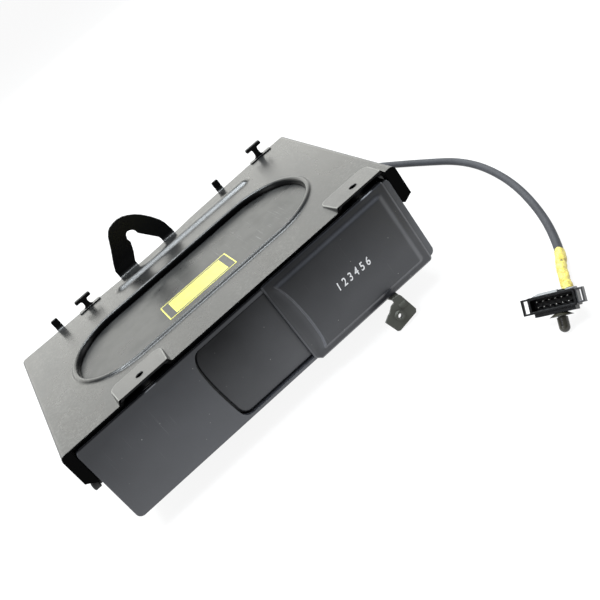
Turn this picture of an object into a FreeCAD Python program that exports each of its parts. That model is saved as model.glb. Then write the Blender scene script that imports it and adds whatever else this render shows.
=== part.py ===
import FreeCAD, Part
import math
import os

os.makedirs("parts", exist_ok=True)
V = FreeCAD.Vector

# ------------------------------------------------------------------
# Driving dimensions, in mm.
# Local frame: X to the right, Y to the back, Z up. Zero is the top
# face of the bracket plate at its front left corner.
# ------------------------------------------------------------------
PLATE_D = 175.0          # bracket plate, front to back
PLATE_T = 1.4            # sheet thickness of the bracket
FLANGE_X0 = -3.0         # outer face of the left flange
FLANGE_X1 = 265.8        # outer face of the right flange
FLANGE_Z = -26.0         # lower edge of the side flanges
BEND_R = 3.5             # outer bend radius
FLOOR_Z = -83.5          # surface the changer stands on
OVAL_X, OVAL_Y = 131.1, 80.0
OVAL_R, OVAL_HALF = 43.4, 58.5
PAD_H = 2.9              # height of the front pads at their front
PAD_FALL = 0.085         # and their fall per mm towards the back
HOLE_Y = 10.6            # round holes in the front pads
HOLE_X0, HOLE_X1 = 63.8, 239.6
HOLE_R = 2.75
BZ_X0, BZ_X1 = 5.3, 257.4
BZ_Z0, BZ_Z1 = -66.8, -3.1
BZ_Y0, BZ_Y1 = -1.0, 12.0
BZ_T = 2.2
DOOR_TRAVEL = 146.0
LEAF_TRAVEL = 59.0
MAG_X0, MAG_X1 = 108.3, 248.7
MAG_Y0, MAG_Y1 = 8.0, 144.0
MAG_Z0, MAG_Z1 = -52.6, -19.0
TRAY_PITCH = 5.0
TRAY_T = 3.4
DISC_X, DISC_Y = 177.0, 76.0      # disc centre in the magazine
PLAY_X = 76.0                     # disc centre when playing
DECK_TRAVEL = 29.0
CABLE_D = 5.4
TAPE_L = 56.0
# the plate's rear edge seen from above
REAR_EDGE = [(-20.0, 172.0), (2.0, 171.5), (30.0, 170.3), (60.0, 169.3), (92.0, 167.1), (124.0, 167.2), (150.0, 168.8),
             (170.0, 171.4), (212.0, 173.4), (240.0, 174.7), (280.0, 175.4)]
HOOK_Y = 170.6                    # rear faces of the hook and the two tabs
TAB_Y0, TAB_Y1 = 172.4, 174.6
SHIFT = V(-131.4, -81.4, 83.5)    # to the part's own origin


def box(x0, y0, z0, x1, y1, z1):
    return Part.makeBox(x1 - x0, y1 - y0, z1 - z0, V(x0, y0, z0))


def cz(x, y, z0, z1, r):
    return Part.makeCylinder(r, z1 - z0, V(x, y, z0), V(0, 0, 1))


def cy(x, z, y0, y1, r):
    return Part.makeCylinder(r, y1 - y0, V(x, y0, z), V(0, 1, 0))


def cx(y, z, x0, x1, r):
    return Part.makeCylinder(r, x1 - x0, V(x0, y, z), V(1, 0, 0))


def poly(pts):
    p = [V(*q) for q in pts]
    return Part.Face(Part.makePolygon(p + [p[0]]))


def pxz(pts, y0, y1):
    return poly([(x, y0, z) for x, z in pts]).extrude(V(0, y1 - y0, 0))


def pxy(pts, z0, z1):
    return poly([(x, y, z0) for x, y in pts]).extrude(V(0, 0, z1 - z0))


def pyz(pts, x0, x1):
    return poly([(x0, y, z) for y, z in pts]).extrude(V(x1 - x0, 0, 0))


def fuse(first, *rest):
    s = first
    for r in rest:
        s = s.fuse(r)
    return s.removeSplitter()


def group(*shapes):
    out = []
    for s in shapes:
        out += s.Solids
    return Part.makeCompound(out)


def round_edges(shape, r, test):
    es = [e for e in shape.Edges if test(e)]
    return shape.makeFillet(r, es) if es else shape


def along(e, axis):
    if len(e.Vertexes) != 2 or e.Curve.TypeId != "Part::GeomLine":
        return False
    d = e.Vertexes[1].Point.sub(e.Vertexes[0].Point)
    return abs(d.normalize().dot(axis)) > 0.999


def rbox(x0, y0, z0, x1, y1, z1, r, axis):
    b = box(x0, y0, z0, x1, y1, z1)
    return b.makeFillet(r, [e for e in b.Edges if along(e, axis)])


def rrect_wire(x0, y0, x1, y1, z, r):
    a = [V(x0 + r, y0, z), V(x1 - r, y0, z), V(x1, y0 + r, z), V(x1, y1 - r, z),
         V(x1 - r, y1, z), V(x0 + r, y1, z), V(x0, y1 - r, z), V(x0, y0 + r, z)]
    k = r * (1 - math.sqrt(0.5))
    m = [V(x1 - k, y0 + k, z), V(x1 - k, y1 - k, z), V(x0 + k, y1 - k, z), V(x0 + k, y0 + k, z)]
    e = [Part.LineSegment(a[0], a[1]).toShape(), Part.Arc(a[1], m[0], a[2]).toShape(),
         Part.LineSegment(a[2], a[3]).toShape(), Part.Arc(a[3], m[1], a[4]).toShape(),
         Part.LineSegment(a[4], a[5]).toShape(), Part.Arc(a[5], m[2], a[6]).toShape(),
         Part.LineSegment(a[6], a[7]).toShape(), Part.Arc(a[7], m[3], a[0]).toShape()]
    return Part.Wire(e)


def frustum(r0, z0, r1, z1, ra, rb):
    w0 = rrect_wire(r0[0], r0[1], r0[2], r0[3], z0, ra)
    w1 = rrect_wire(r1[0], r1[1], r1[2], r1[3], z1, rb)
    return Part.makeLoft([w0, w1], True, True)


def arc_pts(cx_, cz_, r, a0, a1, n):
    return [(cx_ + r * math.cos(math.radians(a0 + (a1 - a0) * i / n)),
             cz_ + r * math.sin(math.radians(a0 + (a1 - a0) * i / n))) for i in range(n + 1)]


def stadium(cx_, cy_, half, r, z0, z1):
    return fuse(box(cx_ - half, cy_ - r, z0, cx_ + half, cy_ + r, z1),
                cz(cx_ - half, cy_, z0, z1, r), cz(cx_ + half, cy_, z0, z1, r))


def stadium_ring(cx_, cy_, half, prof):
    # prof: closed outline as (distance from the centre line, z)
    f = poly([(cx_ - half, cy_ - r, z) for r, z in prof])
    left = f.revolve(V(cx_ - half, cy_, 0), V(0, 0, 1), -180)
    front = f.extrude(V(2 * half, 0, 0))
    g = poly([(cx_ + half, cy_ + r, z) for r, z in prof])
    right = g.revolve(V(cx_ + half, cy_, 0), V(0, 0, 1), -180)
    back = g.extrude(V(-2 * half, 0, 0))
    return fuse(left, front, right, back)


# ------------------------------------------------------------------
# Bracket plate: one steel pressing
# ------------------------------------------------------------------
def bracket_plate():
    x0, x1, t, R = FLANGE_X0, FLANGE_X1, PLATE_T, BEND_R
    out = ([(x0, FLANGE_Z)] + arc_pts(x0 + R, -R, R, 180, 90, 8) + arc_pts(x1 - R, -R, R, 90, 0, 8)
           + [(x1, FLANGE_Z), (x1 - t, FLANGE_Z)] + arc_pts(x1 - R, -R, R - t, 0, 90, 8)
           + arc_pts(x0 + R, -R, R - t, 90, 180, 8) + [(x0 + t, FLANGE_Z)])
    s = pxz(out, 0, PLATE_D)
    # rounded lower rear corners of the flanges
    s = s.cut(pyz([(PLATE_D - 8, FLANGE_Z - 1), (PLATE_D + 1, FLANGE_Z - 1), (PLATE_D + 1, FLANGE_Z + 8)],
                  x0 - 1, x1 + 1))
    # rear edge, set back a little around the hook
    s = s.cut(pxy(REAR_EDGE + [(280.0, PLATE_D + 2), (-20.0, PLATE_D + 2)], -40, 1))
    # lower edges of the flanges rise towards the front
    s = s.cut(pyz([(-1, FLANGE_Z - 2), (32, FLANGE_Z - 2), (32, FLANGE_Z), (0, -23.0), (-1, -23.0)], x0 - 1, x1 + 1))
    # front ears, returned inwards from the flanges
    left = pxz([(-3.0, -23.6), (-0.7, -25.1), (1.8, -27.4), (3.4, -28.0), (4.9, -27.2), (4.9, -1.2),
                (-1.0, -1.2), (-2.2, -2.0), (-3.0, -3.6)], 0, t)
    right = pxz([(265.8, -22.6), (262.6, -24.0), (259.2, -25.4), (257.8, -24.4), (257.8, -1.2),
                 (264.0, -1.2), (265.1, -2.0), (265.8, -3.6)], 0, t)
    s = fuse(s, left, right)
    # front pads
    for bx0, bx1, tx0, tx1 in ((44.0, 83.5, 47.0, 81.0), (219.6, 257.6, 222.4, 255.2)):
        outer = frustum((bx0, -20, bx1, 26.0), 0, (tx0, -17, tx1, 23.2), PAD_H, 4.0, 3.0)
        inner = frustum((bx0 + t, -20, bx1 - t, 26.0 - t), -t, (tx0 + t, -17, tx1 - t, 23.2 - t),
                        PAD_H - t, 3.4, 2.2)
        # the pads fall away towards the back
        roof = [(-30, -5), (32, -5), (32, PAD_H - 32 * PAD_FALL), (0, PAD_H), (-30, PAD_H)]
        outer = outer.common(pyz(roof, bx0 - 6, bx1 + 6))
        inner = inner.common(pyz([(y, z - t if z > -5 else z) for y, z in roof], bx0 - 6, bx1 + 6))
        front = box(bx0 - 5, -30, -5, bx1 + 5, 0, 10)
        s = fuse(s, outer.cut(front)).cut(inner)
    # round holes in the pads
    for hx in (HOLE_X0, HOLE_X1):
        s = s.cut(cz(hx, HOLE_Y, -2, 6, HOLE_R))
    # oval opening with a raised, rolled lip
    prof = ([(46.4, 0.0), (45.6, 0.35), (44.9, 1.0), (44.2, 1.5), (43.4, 1.65), (42.6, 1.5), (41.9, 1.0),
             (41.3, 0.1), (40.9, -1.2), (40.7, -2.6), (41.9, -2.6), (42.2, -1.4), (42.7, -0.4),
             (43.4, 0.1), (44.2, -0.3), (45.0, -1.0), (45.8, -1.4), (46.4, -1.4)])
    s = s.cut(stadium(OVAL_X, OVAL_Y, OVAL_HALF, 46.4, -3, 3))
    s = fuse(s, stadium_ring(OVAL_X, OVAL_Y, OVAL_HALF, prof))
    # rib bead behind the oval
    bx0, bx1, by, bw, bh = 91.0, 211.5, 151.6, 5.6, 2.2
    rr = (bw * bw + bh * bh) / (2 * bh)
    ang = math.degrees(math.asin(bw / rr))
    o = arc_pts(0, bh - rr, rr, 90 - ang, 90 + ang, 10)
    o[0], o[-1] = (bw, 0.0), (-bw, 0.0)
    i = [(y * 0.78, max(z - t, -t)) for y, z in o]
    s = s.cut(stadium((bx0 + bx1) / 2, by, (bx1 - bx0) / 2, bw, -3, 3))
    arch = o + [(-bw, -t)] + i[::-1] + [(bw, -t)]
    rib = poly([(bx0, by + y, z) for y, z in arch]).extrude(V(bx1 - bx0, 0, 0))
    # domed ends: half of the arch turned about its vertical middle line
    half = [(y, z) for y, z in o if y > 0.0001] + [(0, bh), (0, bh - t)] + [
        (y, z) for y, z in i[::-1] if y > 0.0001] + [(bw, -t)]
    for ex in (bx0, bx1):
        f = poly([(ex, by + y, z) for y, z in half])
        s = fuse(s, f.revolve(V(ex, by, 0), V(0, 0, 1), 180 if ex == bx0 else -180))
    s = fuse(s, rib)
    # bent-up parts of the rear edge: sheet bent with an inner radius of 3
    Ri = 3.0
    zc = Ri
    for a, b, yr in ((33.0, 38.8, TAB_Y0), (195.9, 201.5, TAB_Y1), (95.0, 112.0, HOOK_Y), (138.1, 149.4, HOOK_Y)):
        yc = yr - t - Ri
        bend = ([(yc, 0)] + [(yc + Ri * math.sin(math.radians(g)), zc - Ri * math.cos(math.radians(g)))
                             for g in range(10, 91, 10)]
                + [(yr, zc)] + [(yc + (Ri + t) * math.sin(math.radians(g)), zc - (Ri + t) * math.cos(math.radians(g)))
                                for g in range(80, -1, -10)])
        s = s.cut(box(a, yc, -3, b, PLATE_D + 1, 4))
        s = fuse(s, pyz(bend, a, b))
    for a, b, yr, top in ((33.0, 38.8, TAB_Y0, 9.2), (195.9, 201.5, TAB_Y1, 9.0)):
        s = fuse(s, rbox(a, yr - t, zc - 0.01, b, yr, top, 1.2, V(0, 1, 0)).cut(
            box(a - 1, 160, zc - 3, b + 1, 180, zc)))
    # hook with its hole
    outer = [(95.2, 3.0), (95.2, 6.6), (97.7, 12.0), (103.6, 22.4), (108.1, 31.2), (111.0, 34.7), (113.2, 36.1),
             (115.5, 36.8), (118.5, 37.4), (121.6, 37.5), (126.1, 36.6), (130.0, 34.7), (134.6, 31.5),
             (138.5, 27.7), (143.3, 21.4), (147.0, 15.1), (148.4, 11.0), (149.0, 6.9), (149.6, 3.0),
             (138.3, 3.0), (137.7, 5.4), (131.3, 13.6), (127.3, 18.8), (126.9, 21.6), (125.8, 23.3), (124.1, 24.4),
             (122.0, 25.1), (120.6, 24.6), (119.5, 23.5), (118.2, 20.3), (118.9, 17.1), (116.0, 9.8), (113.4, 5.4),
             (112.2, 3.0)]
    outer = [(x - 0.2, z) for x, z in outer]
    s = fuse(s, pxz(outer, HOOK_Y - t, HOOK_Y))
    # flange screw holes
    for y in (45.0, 135.0):
        s = s.cut(cx(y, -17.0, -6, 0, 1.7)).cut(cx(y, -17.0, 262, 270, 1.7))
    return s


# Two T-shaped posts on the rear edge, each on a thin flat foot
def tee_posts():
    out = []
    for x, y, fx0, fx1, z in ((63.1, 169.0, 53.9, 73.6, 7.1), (239.7, 174.6, 230.3, 250.6, 8.3)):
        foot = rbox(fx0, y - 4.4, 0.0, fx1, y, 0.9, 1.0, V(0, 0, 1))
        stem = pxz([(x - 4.2, 0.9), (x + 4.2, 0.9), (x + 2.8, 2.0), (x + 2.2, 3.4), (x + 2.2, z - 1.2), (x + 3.2, z),
                    (x - 3.2, z), (x - 2.2, z - 1.2), (x - 2.2, 3.4), (x - 2.8, 2.0)], y - 2.4, y - 0.4)
        bar = rbox(x - 7.0, y - 2.8, z, x + 7.0, y, z + 3.0, 0.9, V(0, 1, 0))
        out.append(fuse(foot, stem, bar))
    return group(*out)


# ------------------------------------------------------------------
# Fasteners between the bracket and the changer
# ------------------------------------------------------------------
def flange_spacers():
    out = []
    for y in (45.0, 135.0):
        out.append(cx(y, -17.0, FLANGE_X0 + PLATE_T, 6.6, 3.9).cut(cx(y, -17.0, -5, 10, 1.7)))
        out.append(cx(y, -17.0, 256.0, FLANGE_X1 - PLATE_T, 3.9).cut(cx(y, -17.0, 250, 270, 1.7)))
    return group(*out)


def flange_screws():
    out = []
    for y in (45.0, 135.0):
        a = fuse(cx(y, -17.0, -4.4, -3.0, 3.6), cx(y, -17.0, -3.0, 7.6, 1.7))
        b = fuse(cx(y, -17.0, 265.8, 267.2, 3.6), cx(y, -17.0, 255.0, 265.8, 1.7))
        for s, xx in ((a, -4.4), (b, 267.2)):
            d = 0.8 if xx < 0 else -0.8
            x0, x1 = sorted((xx, xx + d))
            s = s.cut(box(x0, y - 2.2, -17.35, x1, y + 2.2, -16.65)).cut(
                box(x0, y - 0.35, -19.2, x1, y + 0.35, -14.8))
            out.append(s)
    return group(*out)


def side_stud():
    s = fuse(cx(6.4, -31.9, 2.6, BZ_X0, 1.6), cx(6.4, -31.9, -1.9, 2.6, 2.9))
    s = round_edges(s, 0.7, lambda e: e.Curve.TypeId == "Part::GeomCircle" and abs(e.Curve.Radius - 2.9) < 0.01
                    and abs(e.Curve.Center.x + 1.9) < 0.01)
    return s


# ------------------------------------------------------------------
# Case
# ------------------------------------------------------------------
TUB_X0, TUB_X1, TUB_Y0, TUB_Y1, TUB_Z0, TUB_Z1 = 6.6, 256.0, 12.2, 171.2, -66.9, -4.3
TW = 0.9


def chassis_tub():
    s = box(TUB_X0, TUB_Y0, TUB_Z0, TUB_X1, TUB_Y1, TUB_Z1).cut(
        box(TUB_X0 + TW, TUB_Y0 - 1, TUB_Z0 + TW, TUB_X1 - TW, TUB_Y1 - TW, TUB_Z1 + 1))
    for y in (45.0, 135.0):
        s = s.cut(cx(y, -17.0, 0, 20, 1.7)).cut(cx(y, -17.0, 250, 270, 1.7))
    s = s.cut(cy(240.0, -50.0, 165, 176, 4.5))
    for x, y in ((46, 66), (216, 66), (46, 158), (216, 158)):
        s = s.cut(cz(x, y, -70, -60, 1.3))
    return s


def case_lid():
    x0, x1, y0, y1, t = 5.6, 257.0, 12.2, 172.2, 1.0
    s = box(x0, y0, -13.0, x1, y1, -3.3).cut(box(x0 + t, y0 - 1, -14, x1 - t, y1 - t, -3.3 - t))
    s = round_edges(s, 0.8, lambda e: (along(e, V(0, 1, 0)) or along(e, V(1, 0, 0)))
                    and abs(e.CenterOfMass.z + 3.3) < 0.01 and e.CenterOfMass.y > 13)
    # shallow pressed panel that faces the oval opening
    s = s.cut(stadium(OVAL_X, OVAL_Y, 62, 50, -3.7, -3.0).cut(stadium(OVAL_X, OVAL_Y, 61, 49, -4, -2)))
    return s


def lid_screws():
    out = []
    for y in (30.0, 90.0, 155.0):
        out.append(fuse(cx(y, -9.0, 4.3, 5.6, 2.8), cx(y, -9.0, 5.6, 8.0, 1.0)))
        out.append(fuse(cx(y, -9.0, 257.0, 258.3, 2.8), cx(y, -9.0, 254.0, 257.0, 1.0)))
    for x in (60.0, 200.0):
        out.append(fuse(cy(x, -9.0, 172.2, 173.5, 2.8), cy(x, -9.0, 169.4, 172.2, 1.0)))
    return group(*out)


def screw_holes(s):
    for y in (30.0, 90.0, 155.0):
        s = s.cut(cx(y, -9.0, 3, 9.5, 1.0)).cut(cx(y, -9.0, 253.5, 259, 1.0))
    for x in (60.0, 200.0):
        s = s.cut(cy(x, -9.0, 169, 175, 1.0))
    return s


# Moulded front: frame, left panel and rails
def front_bezel():
    s = rbox(BZ_X0, BZ_Y0, BZ_Z0, BZ_X1, BZ_Y1, BZ_Z1, 4.2, V(0, 1, 0))
    s = round_edges(s, 0.8, lambda e: abs(e.BoundBox.YMin - BZ_Y0) < 1e-6 and abs(e.BoundBox.YMax - BZ_Y0) < 1e-6)
    s = s.cut(rbox(BZ_X0 + BZ_T, BZ_Y0 + BZ_T, BZ_Z0 + BZ_T, BZ_X1 - BZ_T, BZ_Y1 + 5, BZ_Z1 - BZ_T, 2.2, V(0, 1, 0)))
    # opening behind the two leaves; its left edge is bowed
    o = [(251.0, -6.3), (99.0, -6.3), (97.0, -7.0), (95.2, -8.6), (93.6, -11.2), (92.4, -14.0), (91.7, -18.0),
         (91.5, -24.0), (91.5, -30.0), (91.9, -38.0), (92.8, -48.0), (93.9, -57.0), (94.6, -60.2), (96.4, -62.6),
         (98.8, -63.9), (101.4, -64.3), (251.0, -64.3)]
    s = s.cut(pxz(o, -2, 1.3))
    # running grooves in the top and the bottom face, behind the front edge
    s = s.cut(box(12.0, 1.3, -4.2, 252.6, 2.9, -2.0))
    s = s.cut(box(12.0, 1.3, -68.0, 252.6, 2.9, -65.7))
    # clip tongues that enter the tub
    for x0, x1 in ((7.6, 9.0), (253.6, 255.0)):
        for z in (-50.0, -24.0):
            a = box(x0, 8.0, z - 6, x1, 19.0, z + 6)
            if x0 < 100:
                a = box(7.5, 8.0, z - 6, 8.8, 14.0, z + 6)
            else:
                a = fuse(a, box(254.8, 8.0, z - 6, 255.3, 11.9, z + 6))
            s = fuse(s, a)
    return s


def slot_fascia():
    s = rbox(7.6, 4.2, -64.4, 255.1, 6.2, -5.5, 2.8, V(0, 1, 0))
    s = s.cut(rbox(107.5, 3, -53.5, 249.5, 8, -18.1, 1.5, V(0, 1, 0)))
    s = s.cut(rbox(227.6, 3, -15.3, 244.4, 8, -8.7, 1.0, V(0, 1, 0)))
    return s


# Outer leaf: raised pad with a crescent finger grip at its left
def outer_door():
    base = rbox(152.4, -3.0, -68.3, 252.8, -1.4, -1.7, 1.6, V(0, 1, 0))
    base = base.cut(pxz([(151, -64.9), (153.0, -64.9), (156.9, -68.6), (151, -69)], -6, 0))
    crease = [(158.6, -6.8), (160.2, -11.2), (161.5, -16.4), (162.6, -23.0), (163.2, -30.2), (163.6, -37.5),
              (163.6, -44.4), (163.4, -50.0), (163.0, -55.2), (162.1, -59.6), (160.8, -63.2)]
    ring0 = crease + [(246.6, -63.2), (247.4, -6.8)]
    ring1 = [(x + 1.0, z) for x, z in crease[:]]
    ring1[0] = (160.8, -9.0)
    ring1[-1] = (162.2, -61.6)
    ring1 += [(244.2, -61.6), (244.6, -9.0)]
    w0 = Part.makePolygon([V(x, -3.0, z) for x, z in ring0] + [V(ring0[0][0], -3.0, ring0[0][1])])
    w1 = Part.makePolygon([V(x, -4.9, z) for x, z in ring1] + [V(ring1[0][0], -4.9, ring1[0][1])])
    pad = Part.makeLoft([w0, w1], True, True)
    s = fuse(base, pad)
    s = s.cut(box(166, -2.6, -60, 240, -1.0, -12).cut(box(200, -3, -60, 203, -1, -12)))
    # hooks over the top and the bottom edge of the bezel, running in its grooves
    for x0, x1 in ((160.0, 180.0), (230.0, 250.0)):
        s = fuse(s, box(x0, -1.5, -2.8, x1, 2.5, -1.9), box(x0, 1.6, -3.9, x1, 2.5, -1.9),
                 box(x0, -1.5, -68.0, x1, 2.5, -67.1), box(x0, 1.6, -68.0, x1, 2.5, -66.0))
    return s


def inner_door():
    s = rbox(88.0, 1.6, -64.2, 160.0, 3.6, -5.7, 1.0, V(0, 1, 0))
    return s


def eject_button():
    s = rbox(228.0, 1.2, -14.9, 244.0, 8.6, -9.1, 0.8, V(0, 1, 0))
    s = fuse(s, box(226.6, 7.0, -15.6, 245.4, 8.6, -8.4))
    s = fuse(s, cy(236.0, -12.0, 8.6, 26.0, 1.6))
    return s


def button_guide():
    s = fuse(box(226.0, 20.0, -17.4, 246.0, 21.4, -4.3), box(226.0, 21.4, -5.3, 246.0, 30.0, -4.3))
    return s.cut(cy(236.0, -12.0, 19, 23, 1.66))


def button_spring():
    pitch, n, r = 2.0, 5.4, 2.9
    h = Part.makeHelix(pitch, pitch * n, r)
    prof = Part.Wire(Part.Circle(V(r, 0, 0), V(0, 1, 0), 0.32).toShape())
    s = Part.Wire(h).makePipeShell([prof], True, True)
    s.rotate(V(0, 0, 0), V(1, 0, 0), -90)
    s.translate(V(236.0, 8.95, -12.0))
    return s


# ------------------------------------------------------------------
# Lower bracket with feet and the tilted front tab
# ------------------------------------------------------------------
LB_Z1 = -68.8            # top face of the lower bracket
LB_T = 1.4


def lower_bracket():
    z1, z0 = LB_Z1, LB_Z1 - LB_T
    s = rbox(30.0, 54.0, z0, 232.0, 167.0, z1, 5.0, V(0, 0, 1))
    strap = pxy([(196.0, 60.0), (229.0, 60.0), (227.0, 22.0), (220.5, 8.0), (219.6, -4.0), (218.6, -11.5),
                 (213.4, -12.5), (214.2, -4.0), (212.0, 8.0), (200.0, 24.0)], z0, z1)
    s = fuse(s, strap)
    # raised seats that meet the floor of the tub, each with a screw hole
    for x, y in ((46, 66), (216, 66), (46, 158), (216, 158)):
        s = fuse(s, cz(x, y, z0, TUB_Z0, 6.0)).cut(cz(x, y, -75, -60, 1.7))
    # feet: vertical legs with outward soles
    def foot(x, y, dx, dy):
        w = 9.0
        if dx:
            leg = box(min(x, x + dx * LB_T), y - w, FLOOR_Z, max(x, x + dx * LB_T), y + w, z1)
            sole = box(min(x, x + dx * 12), y - w, FLOOR_Z, max(x, x + dx * 12), y + w, FLOOR_Z + LB_T)
        else:
            leg = box(x - w, min(y, y + dy * LB_T), FLOOR_Z, x + w, max(y, y + dy * LB_T), z1)
            sole = box(x - w, min(y, y + dy * 12), FLOOR_Z, x + w, max(y, y + dy * 12), FLOOR_Z + LB_T)
        return fuse(leg, sole)
    s = fuse(s, foot(31.4, 152.0, -1, 0), foot(230.6, 152.0, 1, 0), foot(31.4, 68.0, -1, 0),
             foot(230.6, 80.0, 1, 0))
    # tilted tab at the front, hanging from the strap's end
    t = LB_T
    pts = [(-9.8, 1.0), (-6.2, 3.0), (-3.6, 4.0), (-0.2, 6.6), (2.6, 7.0), (2.8, 9.6), (8.4, 8.6), (8.9, 7.6),
           (10.6, -2.0), (11.2, -5.6), (9.8, -7.4), (-5.4, -9.4), (-7.0, -8.6)]
    tab = poly([(x, 0, z) for x, z in pts]).extrude(V(0, t, 0))
    boss = fuse(cy(0.0, -1.4, -2.6, t, 3.1), tab).cut(cy(0.0, -1.4, -4, 4, 1.65))
    boss.rotate(V(0, 0, 0), V(1, 0, 0), -14.0)
    boss.translate(V(209.6, -14.6, -73.6))
    s = fuse(s, boss)
    # bend between the strap's end and the tab
    prof = ([(-11.0, z1)] + [(-11.4 + 3.4 * math.cos(math.radians(a)) - 0.0, z1 - 3.4 + 3.4 * math.sin(math.radians(a)))
                             for a in range(90, 196, 15)]
            + [(-11.4 + 2.0 * math.cos(math.radians(a)), z1 - 3.4 + 2.0 * math.sin(math.radians(a)))
               for a in range(195, 89, -15)] + [(-11.0, z0)])
    s = fuse(s, pyz(prof, 213.3, 218.7))
    return s


def bracket_screws():
    out = []
    for x, y in ((46, 66), (216, 66), (46, 158), (216, 158)):
        out.append(fuse(cz(x, y, LB_Z1 - LB_T - 1.5, LB_Z1 - LB_T, 3.4), cz(x, y, LB_Z1 - LB_T, -66.95, 1.7),
                        cz(x, y, -66.95, -63.4, 1.3)))
    return group(*out)


# ------------------------------------------------------------------
# Magazine, trays and their guide
# ------------------------------------------------------------------
def tray_z(n):
    # floor level of tray n, counted from the bottom
    return MAG_Z0 + 1.6 + 0.35 + n * TRAY_PITCH


def magazine_case():
    s = rbox(MAG_X0, MAG_Y0, MAG_Z0, MAG_X1, MAG_Y1, MAG_Z1, 1.6, V(0, 1, 0))
    s = s.cut(box(MAG_X0 - 2, MAG_Y0 + 1.6, MAG_Z0 + 1.6, MAG_X1 - 1.6, MAG_Y1 - 1.6, MAG_Z1 - 1.6))
    for n in range(5):
        z = tray_z(n) + TRAY_T + 0.35
        s = fuse(s, box(MAG_X0 + 3, MAG_Y0 + 1.4, z, MAG_X1 - 1.5, MAG_Y0 + 3.4, z + 0.9),
                 box(MAG_X0 + 3, MAG_Y1 - 3.4, z, MAG_X1 - 1.5, MAG_Y1 - 1.4, z + 0.9))
    # finger recess on the front face
    s = s.cut(rbox(150, MAG_Y0 - 1, -44, 206, MAG_Y0 + 0.8, -28, 3.0, V(0, 1, 0)))
    return s


def tray(n):
    z = tray_z(n)
    h = 65.6
    s = fuse(box(DISC_X, DISC_Y - h, z, MAG_X1 - 2.2, DISC_Y + h, z + TRAY_T),
             cz(DISC_X, DISC_Y, z, z + TRAY_T, h))
    s = s.common(box(DISC_X - 62.6, DISC_Y - h, z, MAG_X1, DISC_Y + h, z + TRAY_T))
    s = s.cut(cz(DISC_X, DISC_Y, z + 1.5, z + 5, 60.6))
    # window for the turntable and the pickup
    s = s.cut(fuse(cz(DISC_X, DISC_Y, z - 1, z + 5, 17.5),
                   box(DISC_X - 17.5, DISC_Y, z - 1, DISC_X + 17.5, DISC_Y + 61.0, z + 5)))
    return s


def magazine_guide():
    s = fuse(box(108.0, 10.0, -54.2, 252.0, 147.0, -53.1), box(250.6, 10.0, -54.2, 252.0, 147.0, -20.0))
    for x, y in ((113, 16), (246, 16), (113, 134), (246, 140)):
        s = fuse(s, cz(x, y, TUB_Z0 + TW, -54.0, 3.0))
    return s.cut(cz(104.0, 148.4, -60, -50, 7.2))


def ejector_lever():
    px, py = 222.0, 159.0
    s = fuse(cz(px, py, -38, -34, 5.0), pxy([(px, py - 4.4), (px, py + 4.4), (180.0, 151.2), (180.0, 146.6)], -37.2, -35.0),
             cz(180.0, 148.7, -38, -34.4, 4.2))
    return s.cut(cz(px, py, -40, -30, 2.06))


def lever_post():
    s = fuse(cz(222.0, 159.0, TUB_Z0 + TW, -38.4, 3.4), cz(222.0, 159.0, -38.4, -33.0, 2.0),
             cz(222.0, 159.0, -33.6, -32.4, 3.4))
    return s


# ------------------------------------------------------------------
# Elevator and mechanism
# ------------------------------------------------------------------
POSTS = ((23.0, 24.0), (23.0, 149.6), (92.4, 149.6))


def guide_posts():
    return group(*[cz(x, y, TUB_Z0 + TW, -4.3, 2.0) for x, y in POSTS])


def elevator_frame():
    z0, z1 = -62.6, -61.4
    s = pxy([(11.6, 17.0), (103.0, 17.0), (103.0, 134.0), (96.5, 142.0), (96.5, 154.0), (67.0, 154.0), (67.0, 145.0),
             (46.0, 145.0), (46.0, 154.0), (11.6, 154.0)], z0, z1)
    s = fuse(s, box(11.6, 17.0, z0, 12.8, 154.0, -54.0))
    for x, y in POSTS:
        s = fuse(s, cz(x, y, z0, -55.0, 3.8))
    for x, y in POSTS:
        s = s.cut(cz(x, y, -70, -50, 2.06))
    s = s.cut(cz(PLAY_X, DISC_Y, -70, -50, 14.6))
    for y in (52.0, 118.0):
        s = fuse(s, cx(y, -58.0, 8.0, 11.7, 2.0))
    return s


def damper_bushes():
    out = []
    for x, y in ((27.0, 44.0), (96.0, 40.0), (27.0, 128.0), (97.0, 126.0)):
        b = cz(x, y, -61.4, -56.4, 4.2)
        b = b.cut(Part.makeTorus(4.9, 1.3, V(x, y, -58.9), V(0, 0, 1)))
        out.append(b)
    return group(*out)


def mech_plate():
    s = box(20.0, 34.0, -56.4, 102.0, 152.5, -55.2)
    for x, y in POSTS:
        s = s.cut(cz(x, y, -60, -50, 5.2))
    s = s.cut(box(82.0, 140.0, -60, 110, 160, -50)).cut(box(15, 140.0, -60, 30, 160, -50))
    s = s.cut(cz(PLAY_X, DISC_Y, -60, -50, 4.0))
    s = s.cut(box(PLAY_X - 16.0, 93.0, -60, PLAY_X + 16.0, 141.0, -50))
    return s


def spindle_motor():
    s = cz(PLAY_X, DISC_Y, -64.6, -56.4, 13.0)
    s = round_edges(s, 0.8, lambda e: e.Curve.TypeId == "Part::GeomCircle" and e.CenterOfMass.z < -60)
    s = fuse(s, cz(PLAY_X, DISC_Y, -56.4, -55.4, 3.8))
    return s.cut(cz(PLAY_X, DISC_Y, -60.0, -50, 1.05))


def turntable():
    s = fuse(cz(PLAY_X, DISC_Y, -54.4, -52.9, 14.5), cz(PLAY_X, DISC_Y, -52.9, -51.1, 7.3),
             cz(PLAY_X, DISC_Y, -59.6, -54.4, 1.0))
    s = s.cut(Part.makeTorus(11.5, 0.5, V(PLAY_X, DISC_Y, -52.7), V(0, 0, 1)))
    for k in range(3):
        a = math.radians(90 + 120 * k)
        s = fuse(s, Part.makeSphere(1.1, V(PLAY_X + 6.6 * math.cos(a), DISC_Y + 6.6 * math.sin(a), -52.0)))
    return s


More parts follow.
